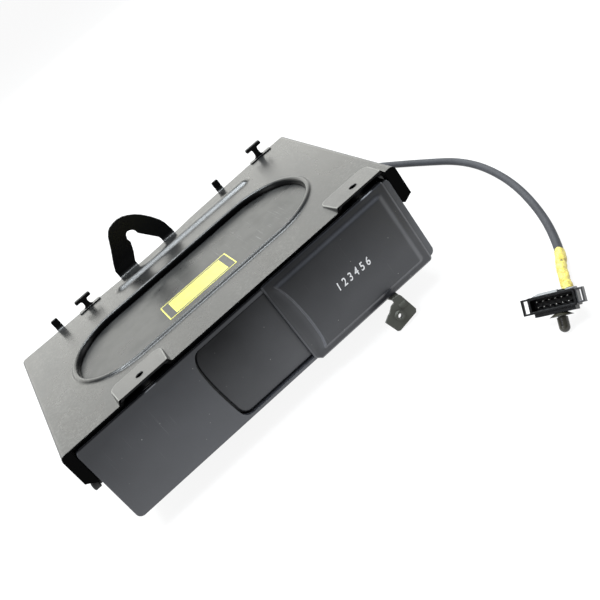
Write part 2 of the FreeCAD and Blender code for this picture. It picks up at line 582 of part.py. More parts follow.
def sled_rails():
    out = [cy(PLAY_X - 13.0, -59.4, 90.6, 145.4, 1.2), cy(PLAY_X + 13.0, -59.4, 90.6, 145.4, 1.2)]
    return group(*out)


def rail_holders():
    out = []
    for x in (PLAY_X - 13.0, PLAY_X + 13.0):
        for y0, y1 in ((90.6, 92.4), (143.6, 145.4)):
            out.append(box(x - 2.4, y0, -61.0, x + 2.4, y1, -56.4).cut(cy(x, -59.4, y0 - 1, y1 + 1, 1.2)))
    return group(*out)


def pickup():
    s = fuse(rbox(PLAY_X - 15.2, 93.2, -61.0, PLAY_X + 15.2, 108.2, -57.2, 1.2, V(0, 0, 1)),
             rbox(PLAY_X - 8.0, 94.4, -57.2, PLAY_X + 8.0, 107.0, -55.0, 1.5, V(0, 0, 1)))
    for x in (PLAY_X - 13.0, PLAY_X + 13.0):
        s = s.cut(cy(x, -59.4, 90, 112, 1.26))
    # arm with the half nut around the sled screw
    s = fuse(s, box(PLAY_X - 21.0, 98.0, -61.0, PLAY_X - 15.0, 104.0, -57.2))
    return s.cut(cy(56.6, -59.2, 90, 112, 1.56))


def pickup_lens():
    s = cz(PLAY_X, 100.4, -55.0, -54.2, 4.0)
    return fuse(s, Part.makeSphere(5.0, V(PLAY_X, 100.4, -57.9)).common(cz(PLAY_X, 100.4, -54.3, -52.6, 2.2)))


def sled_screw():
    return fuse(cy(56.6, -59.2, 91.5, 147.4, 1.5), cy(56.6, -59.2, 147.4, 150.0, 0.8))


def sled_motor():
    s = cy(56.6, -59.2, 147.7, 160.0, 5.2)
    s = s.cut(box(50, 140, -70, 63, 165, -63.6)).cut(box(50, 140, -55.2, 63, 165, -50))
    return s.cut(cy(56.6, -59.2, 146, 150.4, 0.86)).cut(box(20.0, 34.0, -56.4, 102.0, 152.5, -55.2))


def cam_slide():
    x0, x1 = 8.3, 9.6
    s = box(x0, 14.6, -64.6, x1, 126.5, -15.0)
    def slot(y0, z0, y1, z1, r):
        d = V(0, y1 - y0, z1 - z0)
        L = d.Length
        b = Part.makeBox(4, L, 2 * r, V(7, 0, -r))
        c1 = cx(0, 0, 7, 11, r)
        c2 = cx(L, 0, 7, 11, r)
        f = fuse(b, c1, c2)
        f.rotate(V(0, 0, 0), V(1, 0, 0), math.degrees(math.atan2(z1 - z0, y1 - y0)))
        f.translate(V(0, y0, z0))
        return f
    for y in (52.0, 118.0):
        s = s.cut(slot(y + 0.2, -58.2, y - DECK_TRAVEL - 0.2, -58.0 + DECK_TRAVEL + 0.2, 2.4))
    for y in (60.0, 119.0):
        s = s.cut(slot(y + 0.3, -19.0, y - DECK_TRAVEL - 0.3, -19.0, 2.1))
    nut = box(x0, 117.5, -16.0, 18.0, 126.5, -5.6).cut(cy(14.0, -10.5, 110, 130, 2.06))
    return fuse(s, nut)


def cam_guides():
    out = []
    for y in (60.0, 119.0):
        out.append(fuse(cx(y, -19.0, 7.5, 10.0, 1.7), cx(y, -19.0, 10.0, 10.8, 2.6)))
    return group(*out)


def elevator_motor():
    s = cy(14.0, -10.5, 62.0, 95.6, 5.4)
    s = round_edges(s, 0.8, lambda e: e.Curve.TypeId == "Part::GeomCircle" and e.CenterOfMass.y < 63)
    return s


def elevator_bearings():
    a = box(7.5, 95.6, -14.4, 20.0, 97.0, -4.6).cut(cy(14.0, -10.5, 90, 100, 2.06))
    b = fuse(box(7.5, 162.0, -14.4, 20.0, 163.4, -4.6), box(7.5, 163.4, -14.4, 8.5, 168.0, -4.6)).cut(
        cy(14.0, -10.5, 160, 166, 2.06))
    return group(a, b)


def elevator_screw():
    return cy(14.0, -10.5, 95.9, 164.4, 2.0)


def feed_roller():
    s = fuse(cz(104.0, 146.4, -52.0, -14.0, 3.6), cz(104.0, 146.4, -56.4, -12.0, 1.2))
    return s


def feed_motor():
    s = cz(104.0, 148.4, TUB_Z0 + TW, -53.4, 6.6)
    return s.cut(cz(104.0, 146.4, -57, -50, 1.26))


def feed_bearing():
    return box(99.0, 143.0, -12.6, 109.0, 152.0, -4.3).cut(box(98, 142, -11.4, 107.6, 153, -5.4)).cut(
        cz(104.0, 146.4, -13, -11, 1.26))


# ------------------------------------------------------------------
# Electronics
# ------------------------------------------------------------------
def main_board():
    s = box(118.0, 22.0, -61.6, 241.0, 150.0, -60.0)
    for x, y in ((124, 30), (235, 30), (124, 143), (220, 143)):
        s = s.cut(cz(x, y, -63, -59, 1.3))
    return s


def board_standoffs():
    out = []
    for x, y in ((124, 30), (235, 30), (124, 143), (220, 143)):
        out.append(fuse(cz(x, y, TUB_Z0 + TW, -61.6, 2.6), cz(x, y, -61.6, -60.0, 1.3), cz(x, y, -60.0, -59.0, 2.4)))
    return group(*out)


def board_chips():
    out = [box(140, 50, -60, 160, 70, -58.2), box(180, 46, -60, 192, 58, -58.4), box(150, 100, -60, 164, 110, -58.4),
           box(196, 90, -60, 212, 98, -58.2), box(210, 40, -60, 222, 46, -58.4)]
    return group(*out)


def board_capacitors():
    return group(*[cz(x, y, -60, -55.0, 2.6) for x, y in ((180, 120), (188, 120), (196, 120), (140, 130), (148, 130))])


def board_socket():
    return box(226.0, 138.0, -60.0, 240.6, 149.0, -55.0).cut(box(227.2, 144.0, -58.8, 239.4, 150.0, -56.2))


# ------------------------------------------------------------------
# Pigtail cable: gland, tube on its route, tape, connector
# ------------------------------------------------------------------
def cable_gland():
    s = fuse(cy(240.0, -50.0, 169.0, 171.2, 4.5), cy(240.0, -50.0, 171.2, 173.4, 6.6),
             Part.makeCone(5.2, 3.7, 7.6, V(240.0, 173.4, -50.0), V(0, 1, 0)))
    return fuse(s, cy(240.0, -50.0, 167.4, 169.0, 5.6))


CR = CABLE_D / 2
ZC = FLOOR_Z + CR + 0.05
ROUTE = [(240.0, 181.0, -50.0), (240.0, 207.0, -50.0), (244.0, 230.0, -68.0), (269.0, 244.0, ZC), (298.0, 235.0, ZC),
         (316.5, 203.0, ZC), (335.0, 141.0, ZC), (348.5, 89.0, ZC), (341.0, 28.0, ZC), (320.0, -31.0, ZC),
         (296.0, -74.0, FLOOR_Z + 3.2), (280.5, -93.0, FLOOR_Z + 8.0), (266.0, -118.8, FLOOR_Z + 10.9)]


def route_edges(points, report=False):
    P = [V(*p) for p in points]
    n = len(P)
    arcs = {}
    for i in range(1, n - 1):
        a, b = P[i - 1] - P[i], P[i + 1] - P[i]
        la, lb = a.Length, b.Length
        a.normalize()
        b.normalize()
        turn = math.pi - a.getAngle(b)
        cut = 0.45 * min(la, lb)
        r = cut / math.tan(turn / 2)
        bis = a + b
        bis.normalize()
        cen = P[i] + bis * (r / math.cos(turn / 2))
        mid = cen - bis * r
        arcs[i] = (P[i] + a * cut, mid, P[i] + b * cut)
        if report:
            print("bend %d: turn %.1f deg, radius %.1f mm" % (i, math.degrees(turn), r))
    edges = []
    start = P[0]
    for i in range(1, n - 1):
        p, m, q = arcs[i]
        edges.append(Part.LineSegment(start, p).toShape())
        edges.append(Part.Arc(p, m, q).toShape())
        start = q
    edges.append(Part.LineSegment(start, P[-1]).toShape())
    return edges


def tube(edges, r):
    w = Part.Wire(edges)
    e = edges[0]
    p = e.Vertexes[0].Point
    d = e.tangentAt(e.FirstParameter)
    prof = Part.Wire(Part.Circle(p, d, r).toShape())
    s = w.makePipeShell([prof], True, True)
    return s, w.Length


def cable():
    edges = route_edges(ROUTE, True)
    s, L = tube(edges, CR)
    print("cable length %.1f mm, volume %.0f, section x length %.0f" % (L, s.Volume, math.pi * CR * CR * L))
    return s


def cable_tape():
    left, keep = TAPE_L, []
    for e in route_edges(ROUTE)[::-1]:
        if e.Length < left - 0.01:
            keep.insert(0, e)
            left -= e.Length
            continue
        first = e.Curve.parameterAtDistance(-left, e.LastParameter)
        keep.insert(0, e.Curve.toShape(first, e.LastParameter))
        break
    a, L = tube(keep, CR + 0.5)
    b, L2 = tube(keep, CR)
    print("tape length %.1f mm" % L)
    return a.cut(b)


# connector frame: x along its row, y from the mating face to the back, z up;
# it leans back on its peg and on the end of its cable
CN_W, CN_D, CN_H = 26.0, 9.0, 9.1
CN_TURN, CN_TILT = math.radians(-49.3), math.radians(41.8)
CN_X = V(math.cos(CN_TURN), math.sin(CN_TURN), 0)
CN_B = V(-math.sin(CN_TURN), math.cos(CN_TURN), 0)
CN_Y = CN_B * math.cos(CN_TILT) - V(0, 0, 1) * math.sin(CN_TILT)
CN_Z = V(0, 0, 1) * math.cos(CN_TILT) + CN_B * math.sin(CN_TILT)
CN_O = V(244.9, -109.3, FLOOR_Z + 13.5)


def place(s):
    m = FreeCAD.Matrix(CN_X.x, CN_Y.x, CN_Z.x, CN_O.x, CN_X.y, CN_Y.y, CN_Z.y, CN_O.y,
                       CN_X.z, CN_Y.z, CN_Z.z, CN_O.z, 0, 0, 0, 1)
    s2 = s.copy()
    s2.Placement = FreeCAD.Placement(m)
    return s2


def connector_housing():
    s = rbox(0, 0, 0, CN_W, CN_D, CN_H, 0.8, V(0, 1, 0))
    # open frame at the left end
    s = fuse(s, box(-4.0, 0.6, 0.0, 0.3, 2.6, CN_H - 0.2).cut(box(-3.0, 0, 1.0, -0.2, 4, CN_H - 1.2)))
    # lower flange
    s = fuse(s, box(2.0, 0.8, -2.0, 24.5, 7.6, 0.1))
    # block beside the lock ridge
    s = fuse(s, box(17.4, 0.4, CN_H - 0.1, 20.6, 4.0, CN_H + 0.9))
    s = place(s)
    # sleeve around the end of the cable
    e, d = V(*ROUTE[-1]), V(*ROUTE[-2]) - V(*ROUTE[-1])
    d.normalize()
    s = fuse(s, Part.makeCylinder(4.2, 7.5, e - d * 2.5, d))
    s = s.cut(Part.makeCylinder(CR + 0.5, 14.0, e, d))
    # socket with its twelve pins
    s = s.cut(place(rbox(1.3, -3, 1.3, CN_W - 1.3, 6.0, CN_H - 1.5, 0.6, V(0, 1, 0))))
    for i in range(6):
        for z in (3.1, 6.1):
            s = fuse(s, place(box(4.3 + i * 3.4, 1.6, z - 0.4, 5.1 + i * 3.4, 6.5, z + 0.4)))
    return s


def connector_lock():
    f = poly([(3.0, 0.2, CN_H), (3.0, 3.4, CN_H), (3.0, 3.2, CN_H + 1.2), (3.0, 1.6, CN_H + 1.4), (3.0, 0.6, CN_H + 0.5)])
    s = f.extrude(V(14.0, 0, 0))
    s = s.cut(pxz([(2.5, CN_H + 0.2), (7.0, CN_H + 1.6), (2.5, CN_H + 3)], -1, 5))
    return place(s)


def connector_latch():
    s = box(CN_W, 0.8, 0.8, CN_W + 4.2, 4.6, CN_H - 0.3).cut(box(CN_W + 0.9, 0, 1.8, CN_W + 3.3, 6, CN_H - 1.3))
    return place(s)


def mount_peg():
    x, y = 15.0, 4.6
    dish = Part.makeCone(6.6, 3.4, 1.8, V(x, y, -3.8), V(0, 0, 1)).cut(
        Part.makeCone(6.0, 2.4, 1.5, V(x, y, -3.81), V(0, 0, 1)))
    # round-nosed split peg
    s = fuse(dish, cz(x, y, -4.4, -2.0, 2.2), cz(x, y, -9.8, -4.4, 2.95), Part.makeSphere(2.95, V(x, y, -9.8)))
    s = s.cut(box(x - 0.55, y - 5, -9.4, x + 0.55, y + 5, -4.9))
    return place(s)


# ------------------------------------------------------------------
NODES = {
    "bracket_plate": bracket_plate,
    "tee_posts": tee_posts,
    "flange_spacers": flange_spacers,
    "flange_screws": flange_screws,
    "side_stud": side_stud,
    "chassis_tub": lambda: screw_holes(chassis_tub()),
    "case_lid": lambda: screw_holes(case_lid()),
    "lid_screws": lid_screws,
    "lid_label": lambda: rbox(100.2, 53.6, -3.3, 158.6, 79.4, -3.2, 1.0, V(0, 0, 1)),
    "front_bezel": front_bezel,
    "slot_fascia": slot_fascia,
    "outer_door": outer_door,
    "inner_door": inner_door,
    "eject_button": eject_button,
    "button_guide": button_guide,
    "button_spring": button_spring,
    "lower_bracket": lower_bracket,
    "bracket_screws": bracket_screws,
    "magazine_case": magazine_case,
    "magazine_guide": magazine_guide,
    "ejector_lever": ejector_lever,
    "lever_post": lever_post,
    "guide_posts": guide_posts,
    "elevator_frame": elevator_frame,
    "damper_bushes": damper_bushes,
    "mech_plate": mech_plate,
    "spindle_motor": spindle_motor,
    "turntable": turntable,
    "sled_rails": sled_rails,
    "rail_holders": rail_holders,
    "pickup": pickup,
    "pickup_lens": pickup_lens,
    "sled_screw": sled_screw,
    "sled_motor": sled_motor,
    "cam_slide": cam_slide,
    "cam_guides": cam_guides,
    "elevator_motor": elevator_motor,
    "elevator_bearings": elevator_bearings,
    "elevator_screw": elevator_screw,
    "feed_roller": feed_roller,
    "feed_motor": feed_motor,
    "feed_bearing": feed_bearing,
    "main_board": main_board,
    "board_standoffs": board_standoffs,
    "board_chips": board_chips,
    "board_capacitors": board_capacitors,
    "board_socket": board_socket,
    "cable_gland": cable_gland,
    "cable": cable,
    "cable_tape": cable_tape,
    "connector_housing": connector_housing,
    "connector_lock": connector_lock,
    "connector_latch": connector_latch,
    "mount_peg": mount_peg,
}
for n in range(6):
    NODES["tray_%d" % (n + 1)] = (lambda k: (lambda: tray(k)))(n)

SHAPES = {}
for name, make in NODES.items():
    shape = make()
    shape.translate(SHIFT)
    SHAPES[name] = shape
    shape.exportStep("parts/%s.step" % name)
    bb = shape.optimalBoundingBox()
    print("%-18s solids %d valid %s vol %9.1f  x %7.1f %7.1f y %7.1f %7.1f z %6.1f %6.1f" % (
        name, len(shape.Solids), shape.isValid(), shape.Volume, bb.XMin, bb.XMax, bb.YMin, bb.YMax, bb.ZMin, bb.ZMax))
print("nodes", len(SHAPES))
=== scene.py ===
import bpy
import bmesh
import math
import random
from mathutils import Matrix, Vector, noise


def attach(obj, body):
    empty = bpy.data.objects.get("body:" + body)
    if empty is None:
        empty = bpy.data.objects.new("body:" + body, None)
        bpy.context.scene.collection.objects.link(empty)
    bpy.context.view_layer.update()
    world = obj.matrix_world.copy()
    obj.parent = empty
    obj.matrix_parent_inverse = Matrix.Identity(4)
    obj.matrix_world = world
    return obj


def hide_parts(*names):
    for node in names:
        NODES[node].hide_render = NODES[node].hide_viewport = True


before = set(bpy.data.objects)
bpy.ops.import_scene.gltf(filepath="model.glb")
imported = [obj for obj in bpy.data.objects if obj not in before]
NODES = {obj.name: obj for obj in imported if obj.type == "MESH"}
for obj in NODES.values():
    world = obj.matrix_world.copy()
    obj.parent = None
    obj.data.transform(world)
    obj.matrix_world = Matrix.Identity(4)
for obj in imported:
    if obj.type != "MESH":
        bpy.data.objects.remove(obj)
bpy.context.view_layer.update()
SCN = bpy.context.scene

# Local frame of the bracket plate, in mm: X right, Y back, Z up from the
# plate's top face, zero at its front left corner.
SHIFT = (-131.4, -81.4, 83.5)
FLOOR_Z = -83.5


def W(x, y, z):
    return Vector(((x + SHIFT[0]) / 1000, (y + SHIFT[1]) / 1000, (z + SHIFT[2]) / 1000))


# ------------------------------------------------------------------
# Camera, at the reference view
# ------------------------------------------------------------------
cam_data = bpy.data.cameras.new("view_camera")
cam = bpy.data.objects.new("view_camera", cam_data)
SCN.collection.objects.link(cam)
R0 = (0.744356, -0.361632, -0.561387)
R1 = (-0.657084, -0.246765, -0.712283)
R2 = (0.119054, 0.899071, -0.421304)
m = Matrix(((R0[0], -R1[0], -R2[0]), (R0[1], -R1[1], -R2[1]), (R0[2], -R1[2], -R2[2])))
q = m.to_quaternion()
q.normalize()
cam.matrix_world = Matrix.Translation(W(89.258, -488.54, 233.212)) @ q.to_matrix().to_4x4()
cam_data.sensor_width = 36.0
cam_data.sensor_fit = 'HORIZONTAL'
cam_data.lens = 54.066
cam_data.shift_x = 0.07495
cam_data.shift_y = -0.03642
cam_data.clip_start = 0.01
cam_data.clip_end = 50
SCN.camera = cam


# ------------------------------------------------------------------
# Materials
# ------------------------------------------------------------------
class Nt:
    def __init__(self, name, base, rough, metallic=0.0, ior=1.5, coat=0.0, coat_rough=0.1, spec=None, edge=0.5):
        self.m = bpy.data.materials.new(name)
        self.m.use_nodes = True
        self.t = self.m.node_tree
        self.p = self.t.nodes["Principled BSDF"]
        self.p.inputs["Base Color"].default_value = (*base, 1)
        self.p.inputs["Roughness"].default_value = rough
        self.p.inputs["Metallic"].default_value = metallic
        self.p.inputs["IOR"].default_value = ior
        if spec is not None:
            self.p.inputs["Specular IOR Level"].default_value = spec
        if coat:
            self.p.inputs["Coat Weight"].default_value = coat
            self.p.inputs["Coat Roughness"].default_value = coat_rough
        self.co = self.t.nodes.new("ShaderNodeTexCoord").outputs["Object"]
        self.height = None
        if edge:
            # moulded and pressed edges are never knife sharp
            bv = self.t.nodes.new("ShaderNodeBevel")
            bv.samples = 4
            bv.inputs["Radius"].default_value = edge / 1000
            self.height = bv.outputs["Normal"]
            self.t.links.new(self.height, self.p.inputs["Normal"])

    def n(self, kind, **kw):
        nd = self.t.nodes.new(kind)
        for k, v in kw.items():
            setattr(nd, k, v)
        return nd

    def link(self, a, b):
        self.t.links.new(a, b)

    def mapped(self, scale=(1, 1, 1), rot=(0, 0, 0)):
        mp = self.n("ShaderNodeMapping")
        mp.inputs["Scale"].default_value = scale
        mp.inputs["Rotation"].default_value = rot
        self.link(self.co, mp.inputs["Vector"])
        return mp.outputs["Vector"]

    def noise(self, scale, detail=3.0, rough=0.5, vec=None, distort=0.0):
        nd = self.n("ShaderNodeTexNoise")
        nd.inputs["Scale"].default_value = scale
        nd.inputs["Detail"].default_value = detail
        nd.inputs["Roughness"].default_value = rough
        nd.inputs["Distortion"].default_value = distort
        self.link(vec or self.co, nd.inputs["Vector"])
        return nd.outputs["Fac"]

    def voronoi(self, scale, vec=None, feature='F1'):
        nd = self.n("ShaderNodeTexVoronoi", feature=feature)
        nd.inputs["Scale"].default_value = scale
        self.link(vec or self.co, nd.inputs["Vector"])
        return nd.outputs["Distance"]

    def ramp(self, fac, stops):
        nd = self.n("ShaderNodeValToRGB")
        while len(nd.color_ramp.elements) < len(stops):
            nd.color_ramp.elements.new(0.5)
        for e, (pos, c) in zip(nd.color_ramp.elements, stops):
            e.position = pos
            e.color = (c, c, c, 1) if isinstance(c, (int, float)) else (*c, 1)
        self.link(fac, nd.inputs["Fac"])
        return nd.outputs["Color"]

    def math(self, op, a, b=None, clamp=False):
        nd = self.n("ShaderNodeMath", operation=op, use_clamp=clamp)
        for i, v in enumerate((a, b)):
            if v is None:
                continue
            if isinstance(v, (int, float)):
                nd.inputs[i].default_value = v
            else:
                self.link(v, nd.inputs[i])
        return nd.outputs[0]

    def mix(self, fac, a, b):
        nd = self.n("ShaderNodeMix", data_type='RGBA')
        for k, v in ((0, fac), (6, a), (7, b)):
            if isinstance(v, (int, float)):
                nd.inputs[k].default_value = v
            elif isinstance(v, tuple):
                nd.inputs[k].default_value = (*v, 1) if len(v) == 3 else v
            else:
                self.link(v, nd.inputs[k])
        return nd.outputs[2]

    def color(self, socket):
        self.link(socket, self.p.inputs["Base Color"])

    def rough(self, socket):
        self.link(socket, self.p.inputs["Roughness"])

    def bump(self, h, strength, dist):
        b = self.n("ShaderNodeBump")
        b.inputs["Strength"].default_value = strength
        b.inputs["Distance"].default_value = dist
        self.link(h, b.inputs["Height"])
        if self.height is not None:
            self.link(self.height, b.inputs["Normal"])
        self.height = b.outputs["Normal"]
        self.link(self.height, self.p.inputs["Normal"])

    def lines(self, angle, scale, lo, hi, breakup=7.0):
        """thin scratches: stretched noise, cut to its peaks"""
        v = self.mapped((scale, scale * 0.012, scale * 0.012), (0, 0, angle))
        a = self.noise(1.0, 1.5, 0.5, v)
        b = self.noise(breakup, 1.0, 0.5)
        k = self.math('MULTIPLY', self.ramp(a, [(lo, 0.0), (hi, 1.0)]), self.ramp(b, [(0.5, 0.0), (0.62, 1.0)]))
        return k


def ecoat(name, base=(0.0035, 0.0036, 0.0038), rough=0.27, ior=1.4, dust=0.5, edge=1.0, shade=1.0):
    s = Nt(name, base, rough, ior=ior, edge=edge)
    # dust and rubbed marks lie on the faces that look up
    sep = s.n("ShaderNodeSeparateXYZ")
    s.link(s.n("ShaderNodeNewGeometry").outputs["Normal"], sep.inputs[0])
    up = s.ramp(sep.outputs["Z"], [(0.55, 0.04), (0.9, 1.0)])
    # the ears hang in the shade in front: painted shade, faces that look forward below the plate's top are painted near
    # black with their specular cut, and no dust shows there
    place = s.n("ShaderNodeSeparateXYZ")
    s.link(s.co, place.inputs[0])
    painted_front_shade = s.ramp(s.math('MULTIPLY', sep.outputs["Y"], -1.0), [(0.7, 0.0), (0.95, 1.0)])
    painted_front_shade = s.math('MULTIPLY', painted_front_shade, s.math('MULTIPLY', s.math('LESS_THAN', place.outputs["Z"], 0.0845), shade))
    # painted shade: the specular level is lower on faces that do not look up, so their reflections render darker
    lvl = s.math('ADD', s.math('MULTIPLY', up, 0.34), 0.16)
    s.link(s.math('MULTIPLY', lvl, s.math('SUBTRACT', 1.0, s.math('MULTIPLY', painted_front_shade, 0.8))), s.p.inputs["Specular IOR Level"])
    big = s.noise(9.0, 3.0, 0.55)
    fine = s.noise(700.0, 2.0, 0.6)
    smear = s.noise(38.0, 4.0, 0.6, s.mapped((1.0, 0.35, 1.0), (0, 0, 0.4)), 0.6)
    scr = s.math('MAXIMUM', s.lines(0.5, 2600.0, 0.70, 0.76), s.lines(-0.9, 2200.0, 0.71, 0.77))
    scr = s.math('MAXIMUM', scr, s.lines(1.35, 3000.0, 0.71, 0.78))
    scr = s.math('MULTIPLY', scr, up)
    speck = s.ramp(s.voronoi(240.0), [(0.0, 1.0), (0.045, 0.0)])
    speck = s.math('MULTIPLY', speck, s.ramp(s.noise(60.0, 1.0), [(0.55, 0.0), (0.66, 1.0)]))
    speck = s.math('MULTIPLY', speck, up)
    film = s.math('MULTIPLY', s.ramp(smear, [(0.35, 0.0), (0.75, 1.0)]), up)
    c = s.mix(film, tuple(b * 0.8 for b in base), tuple(b * 1.4 + 0.012 * dust for b in base))
    dusty = s.math('ADD', s.math('MULTIPLY', s.ramp(s.noise(14.0, 3.0, 0.6), [(0.42, 0.0), (0.68, 1.0)]), 0.30), 0.10)
    c = s.mix(s.math('MULTIPLY', s.math('MULTIPLY', s.ramp(fine, [(0.46, 0.0), (0.72, 1.0)]), up),
                     s.math('MULTIPLY', dusty, dust)), c, (0.20, 0.197, 0.18))
    c = s.mix(s.math('MULTIPLY', scr, 0.12 * dust), c, (0.20, 0.20, 0.20))
    c = s.mix(s.math('MULTIPLY', speck, 0.5 * dust), c, (0.30, 0.30, 0.28))
    # painted shade: forward-looking faces mixed to near black
    c = s.mix(s.math('MULTIPLY', painted_front_shade, 0.85), c, (0.0003, 0.0003, 0.0003))
    s.color(c)
    r = s.math('ADD', s.math('MULTIPLY', s.ramp(big, [(0.3, 0.0), (0.7, 1.0)]), 0.06), rough - 0.03)
    r = s.math('ADD', r, s.math('MULTIPLY', s.ramp(smear, [(0.4, 0.0), (0.8, 1.0)]), 0.09))
    r = s.math('ADD', r, s.math('MULTIPLY', scr, 0.12), True)
    s.rough(r)
    s.bump(s.noise(12.0, 2.0, 0.5), 0.08, 0.0012)
    s.bump(fine, 0.10, 0.00016)
    return s.m


def plastic(name, base, rough=0.42, grain=1500.0, bump=0.35, ior=1.5, marks=1.0, painted_light_fade=None, bevel_highlight=0.0, lip=None):
    s = Nt(name, base, rough, ior=ior)
    g = s.voronoi(grain)
    big = s.noise(11.0, 3.0, 0.55)
    scr = s.math('MAXIMUM', s.lines(0.2, 1900.0, 0.74, 0.80, 16.0), s.lines(-1.1, 2300.0, 0.74, 0.80, 12.0))
    speck = s.ramp(s.voronoi(170.0), [(0.03, 1.0), (0.075, 0.0)])
    speck = s.math('MULTIPLY', speck, s.ramp(s.noise(45.0, 1.0), [(0.44, 0.0), (0.58, 1.0)]))
    c = s.mix(s.ramp(big, [(0.3, 0.0), (0.7, 1.0)]), tuple(b * 0.86 for b in base), tuple(b * 1.14 for b in base))
    c = s.mix(s.math('MULTIPLY', scr, 0.13 * marks), c, (0.25, 0.25, 0.25))
    c = s.mix(s.math('MULTIPLY', speck, 0.45 * marks), c, (0.30, 0.30, 0.28))
    level = None
    if painted_light_fade:
        # painted shade and light: the face is painted darker near the top under the plate's edge, and lighter lower
        # down and towards +X, with some noise
        pos = s.n("ShaderNodeSeparateXYZ")
        s.link(s.co, pos.inputs[0])
        nor = s.n("ShaderNodeSeparateXYZ")
        s.link(s.n("ShaderNodeNewGeometry").outputs["Normal"], nor.inputs[0])
        low = s.math('MULTIPLY', s.math('SUBTRACT', 0.079, pos.outputs["Z"]), 1 / 0.058)
        low = s.math('ADD', low, s.math('MULTIPLY', pos.outputs["X"], painted_light_fade[2]))
        low = s.math('ADD', low, s.math('MULTIPLY', s.math('SUBTRACT', s.noise(16.0, 3.0, 0.6), 0.5), 0.5), True)
        painted_light_gain = s.math('ADD', s.math('MULTIPLY', low, painted_light_fade[1] - painted_light_fade[0]), painted_light_fade[0])
        # painted highlight: faces turned away from the front, on the bevels, are painted lighter
        turned = s.ramp(s.math('SUBTRACT', 1.0, s.math('ABSOLUTE', nor.outputs["Y"])), [(0.01, 0.0), (0.30, 1.0)])
        turned = s.math('MULTIPLY', turned, s.ramp(nor.outputs["Z"], [(0.0, 1.0), (1.0, 1.0)]))
        painted_light_gain = s.math('MULTIPLY', painted_light_gain, s.math('ADD', s.math('MULTIPLY', turned, bevel_highlight), 1.0))
        if lip:
            # painted shade: a thin band at the top edge, above lip[0], is painted almost black
            rim = s.math('MULTIPLY', s.math('SUBTRACT', pos.outputs["Z"], lip[0]), 1 / 0.0009, True)
            away = s.math('MULTIPLY', s.math('SUBTRACT', s.math('ABSOLUTE', s.math('SUBTRACT', pos.outputs["X"], lip[1])), 0.0030), 1 / 0.0022, True)
            painted_light_gain = s.math('MULTIPLY', painted_light_gain, s.math('SUBTRACT', 1.0, s.math('MULTIPLY', rim, 0.93)))
            # painted highlight: near the pad's x the band gets a lighter colour, where light falls through under the
            # pad and catches the edge
            top = s.math('MULTIPLY', s.math('SUBTRACT', pos.outputs["Z"], lip[0] + 0.0006), 1 / 0.0003, True)
            glint = s.math('MULTIPLY', s.math('MULTIPLY', rim, s.math('SUBTRACT', 1.0, top)), s.math('SUBTRACT', 1.0, away))
        c2 = s.n("ShaderNodeVectorMath", operation='SCALE')
        s.link(c, c2.inputs[0])
        s.link(painted_light_gain, c2.inputs["Scale"])
        c = c2.outputs[0]
        if lip:
            # painted highlight colour on the edge below the pad
            c = s.mix(glint, c, (0.26, 0.27, 0.29))
        # the specular level follows the same painted light and shade
        s.link(s.math('MULTIPLY', painted_light_gain, 0.5, True), s.p.inputs["Specular IOR Level"])
    s.color(c)
    r = s.math('ADD', s.math('MULTIPLY', big, 0.12), rough - 0.06)
    s.rough(r)
    s.bump(g, bump, 0.00006)
    s.bump(s.noise(35.0, 2.0, 0.5), 0.06, 0.0008)
    return s.m


def metal(name, base, rough=0.35, brushed=0.0, metallic=1.0):
    s = Nt(name, base, rough, metallic=metallic)
    v = s.mapped((40.0, 900.0, 900.0))
    br = s.noise(1.0, 2.0, 0.6, v)
    big = s.noise(25.0, 3.0, 0.6)
    s.color(s.mix(s.ramp(big, [(0.3, 0.0), (0.7, 1.0)]), tuple(b * 0.88 for b in base), tuple(min(1, b * 1.08) for b in base)))
    s.rough(s.math('ADD', s.math('MULTIPLY', s.mix(brushed, big, br), 0.16), rough - 0.08))
    s.bump(br if brushed else s.noise(1500.0, 2.0), 0.06, 0.0001)
    return s.m


def zinc(name):
    s = Nt(name, (0.34, 0.34, 0.335), 0.40, metallic=1.0)
    cell = s.n("ShaderNodeTexVoronoi", feature='F1')
    cell.inputs["Scale"].default_value = 190.0
    s.link(s.mapped((1, 1, 1)), cell.inputs["Vector"])
    s.color(s.mix(cell.outputs["Color"], (0.30, 0.30, 0.30), (0.36, 0.36, 0.355)))
    s.rough(s.math('ADD', s.math('MULTIPLY', s.noise(30.0, 3.0), 0.2), 0.28))
    s.bump(cell.outputs["Distance"], 0.08, 0.0001)
    return s.m


def jacket(name):
    s = Nt(name, (0.030, 0.032, 0.037), 0.6, ior=1.3)
    n1 = s.noise(600.0, 3.0, 0.6)
    n2 = s.noise(40.0, 3.0, 0.6)
    s.color(s.mix(s.ramp(n2, [(0.3, 0.0), (0.7, 1.0)]), (0.015, 0.016, 0.0195), (0.025, 0.0265, 0.0315)))
    s.rough(s.math('ADD', s.math('MULTIPLY', n1, 0.12), 0.50))
    s.bump(n1, 0.2, 0.00012)
    return s.m


def tape(name):
    s = Nt(name, (0.80, 0.62, 0.06), 0.38, ior=1.45)
    v = s.mapped((1, 1, 1))
    n1 = s.noise(230.0, 4.0, 0.6, v, 1.2)
    n2 = s.noise(90.0, 3.0, 0.6)
    # painted shade: the colour follows the bump noise, darker in its low creases
    s.color(s.mix(s.ramp(n1, [(0.35, 0.0), (0.65, 1.0)]), (0.26, 0.19, 0.020), (0.56, 0.48, 0.10)))
    s.rough(s.math('ADD', s.math('MULTIPLY', n2, 0.25), 0.28))
    s.bump(n1, 0.55, 0.0006)
    s.p.inputs["Subsurface Weight"].default_value = 0.1
    s.p.inputs["Subsurface Radius"].default_value = (0.001, 0.001, 0.0005)
    return s.m


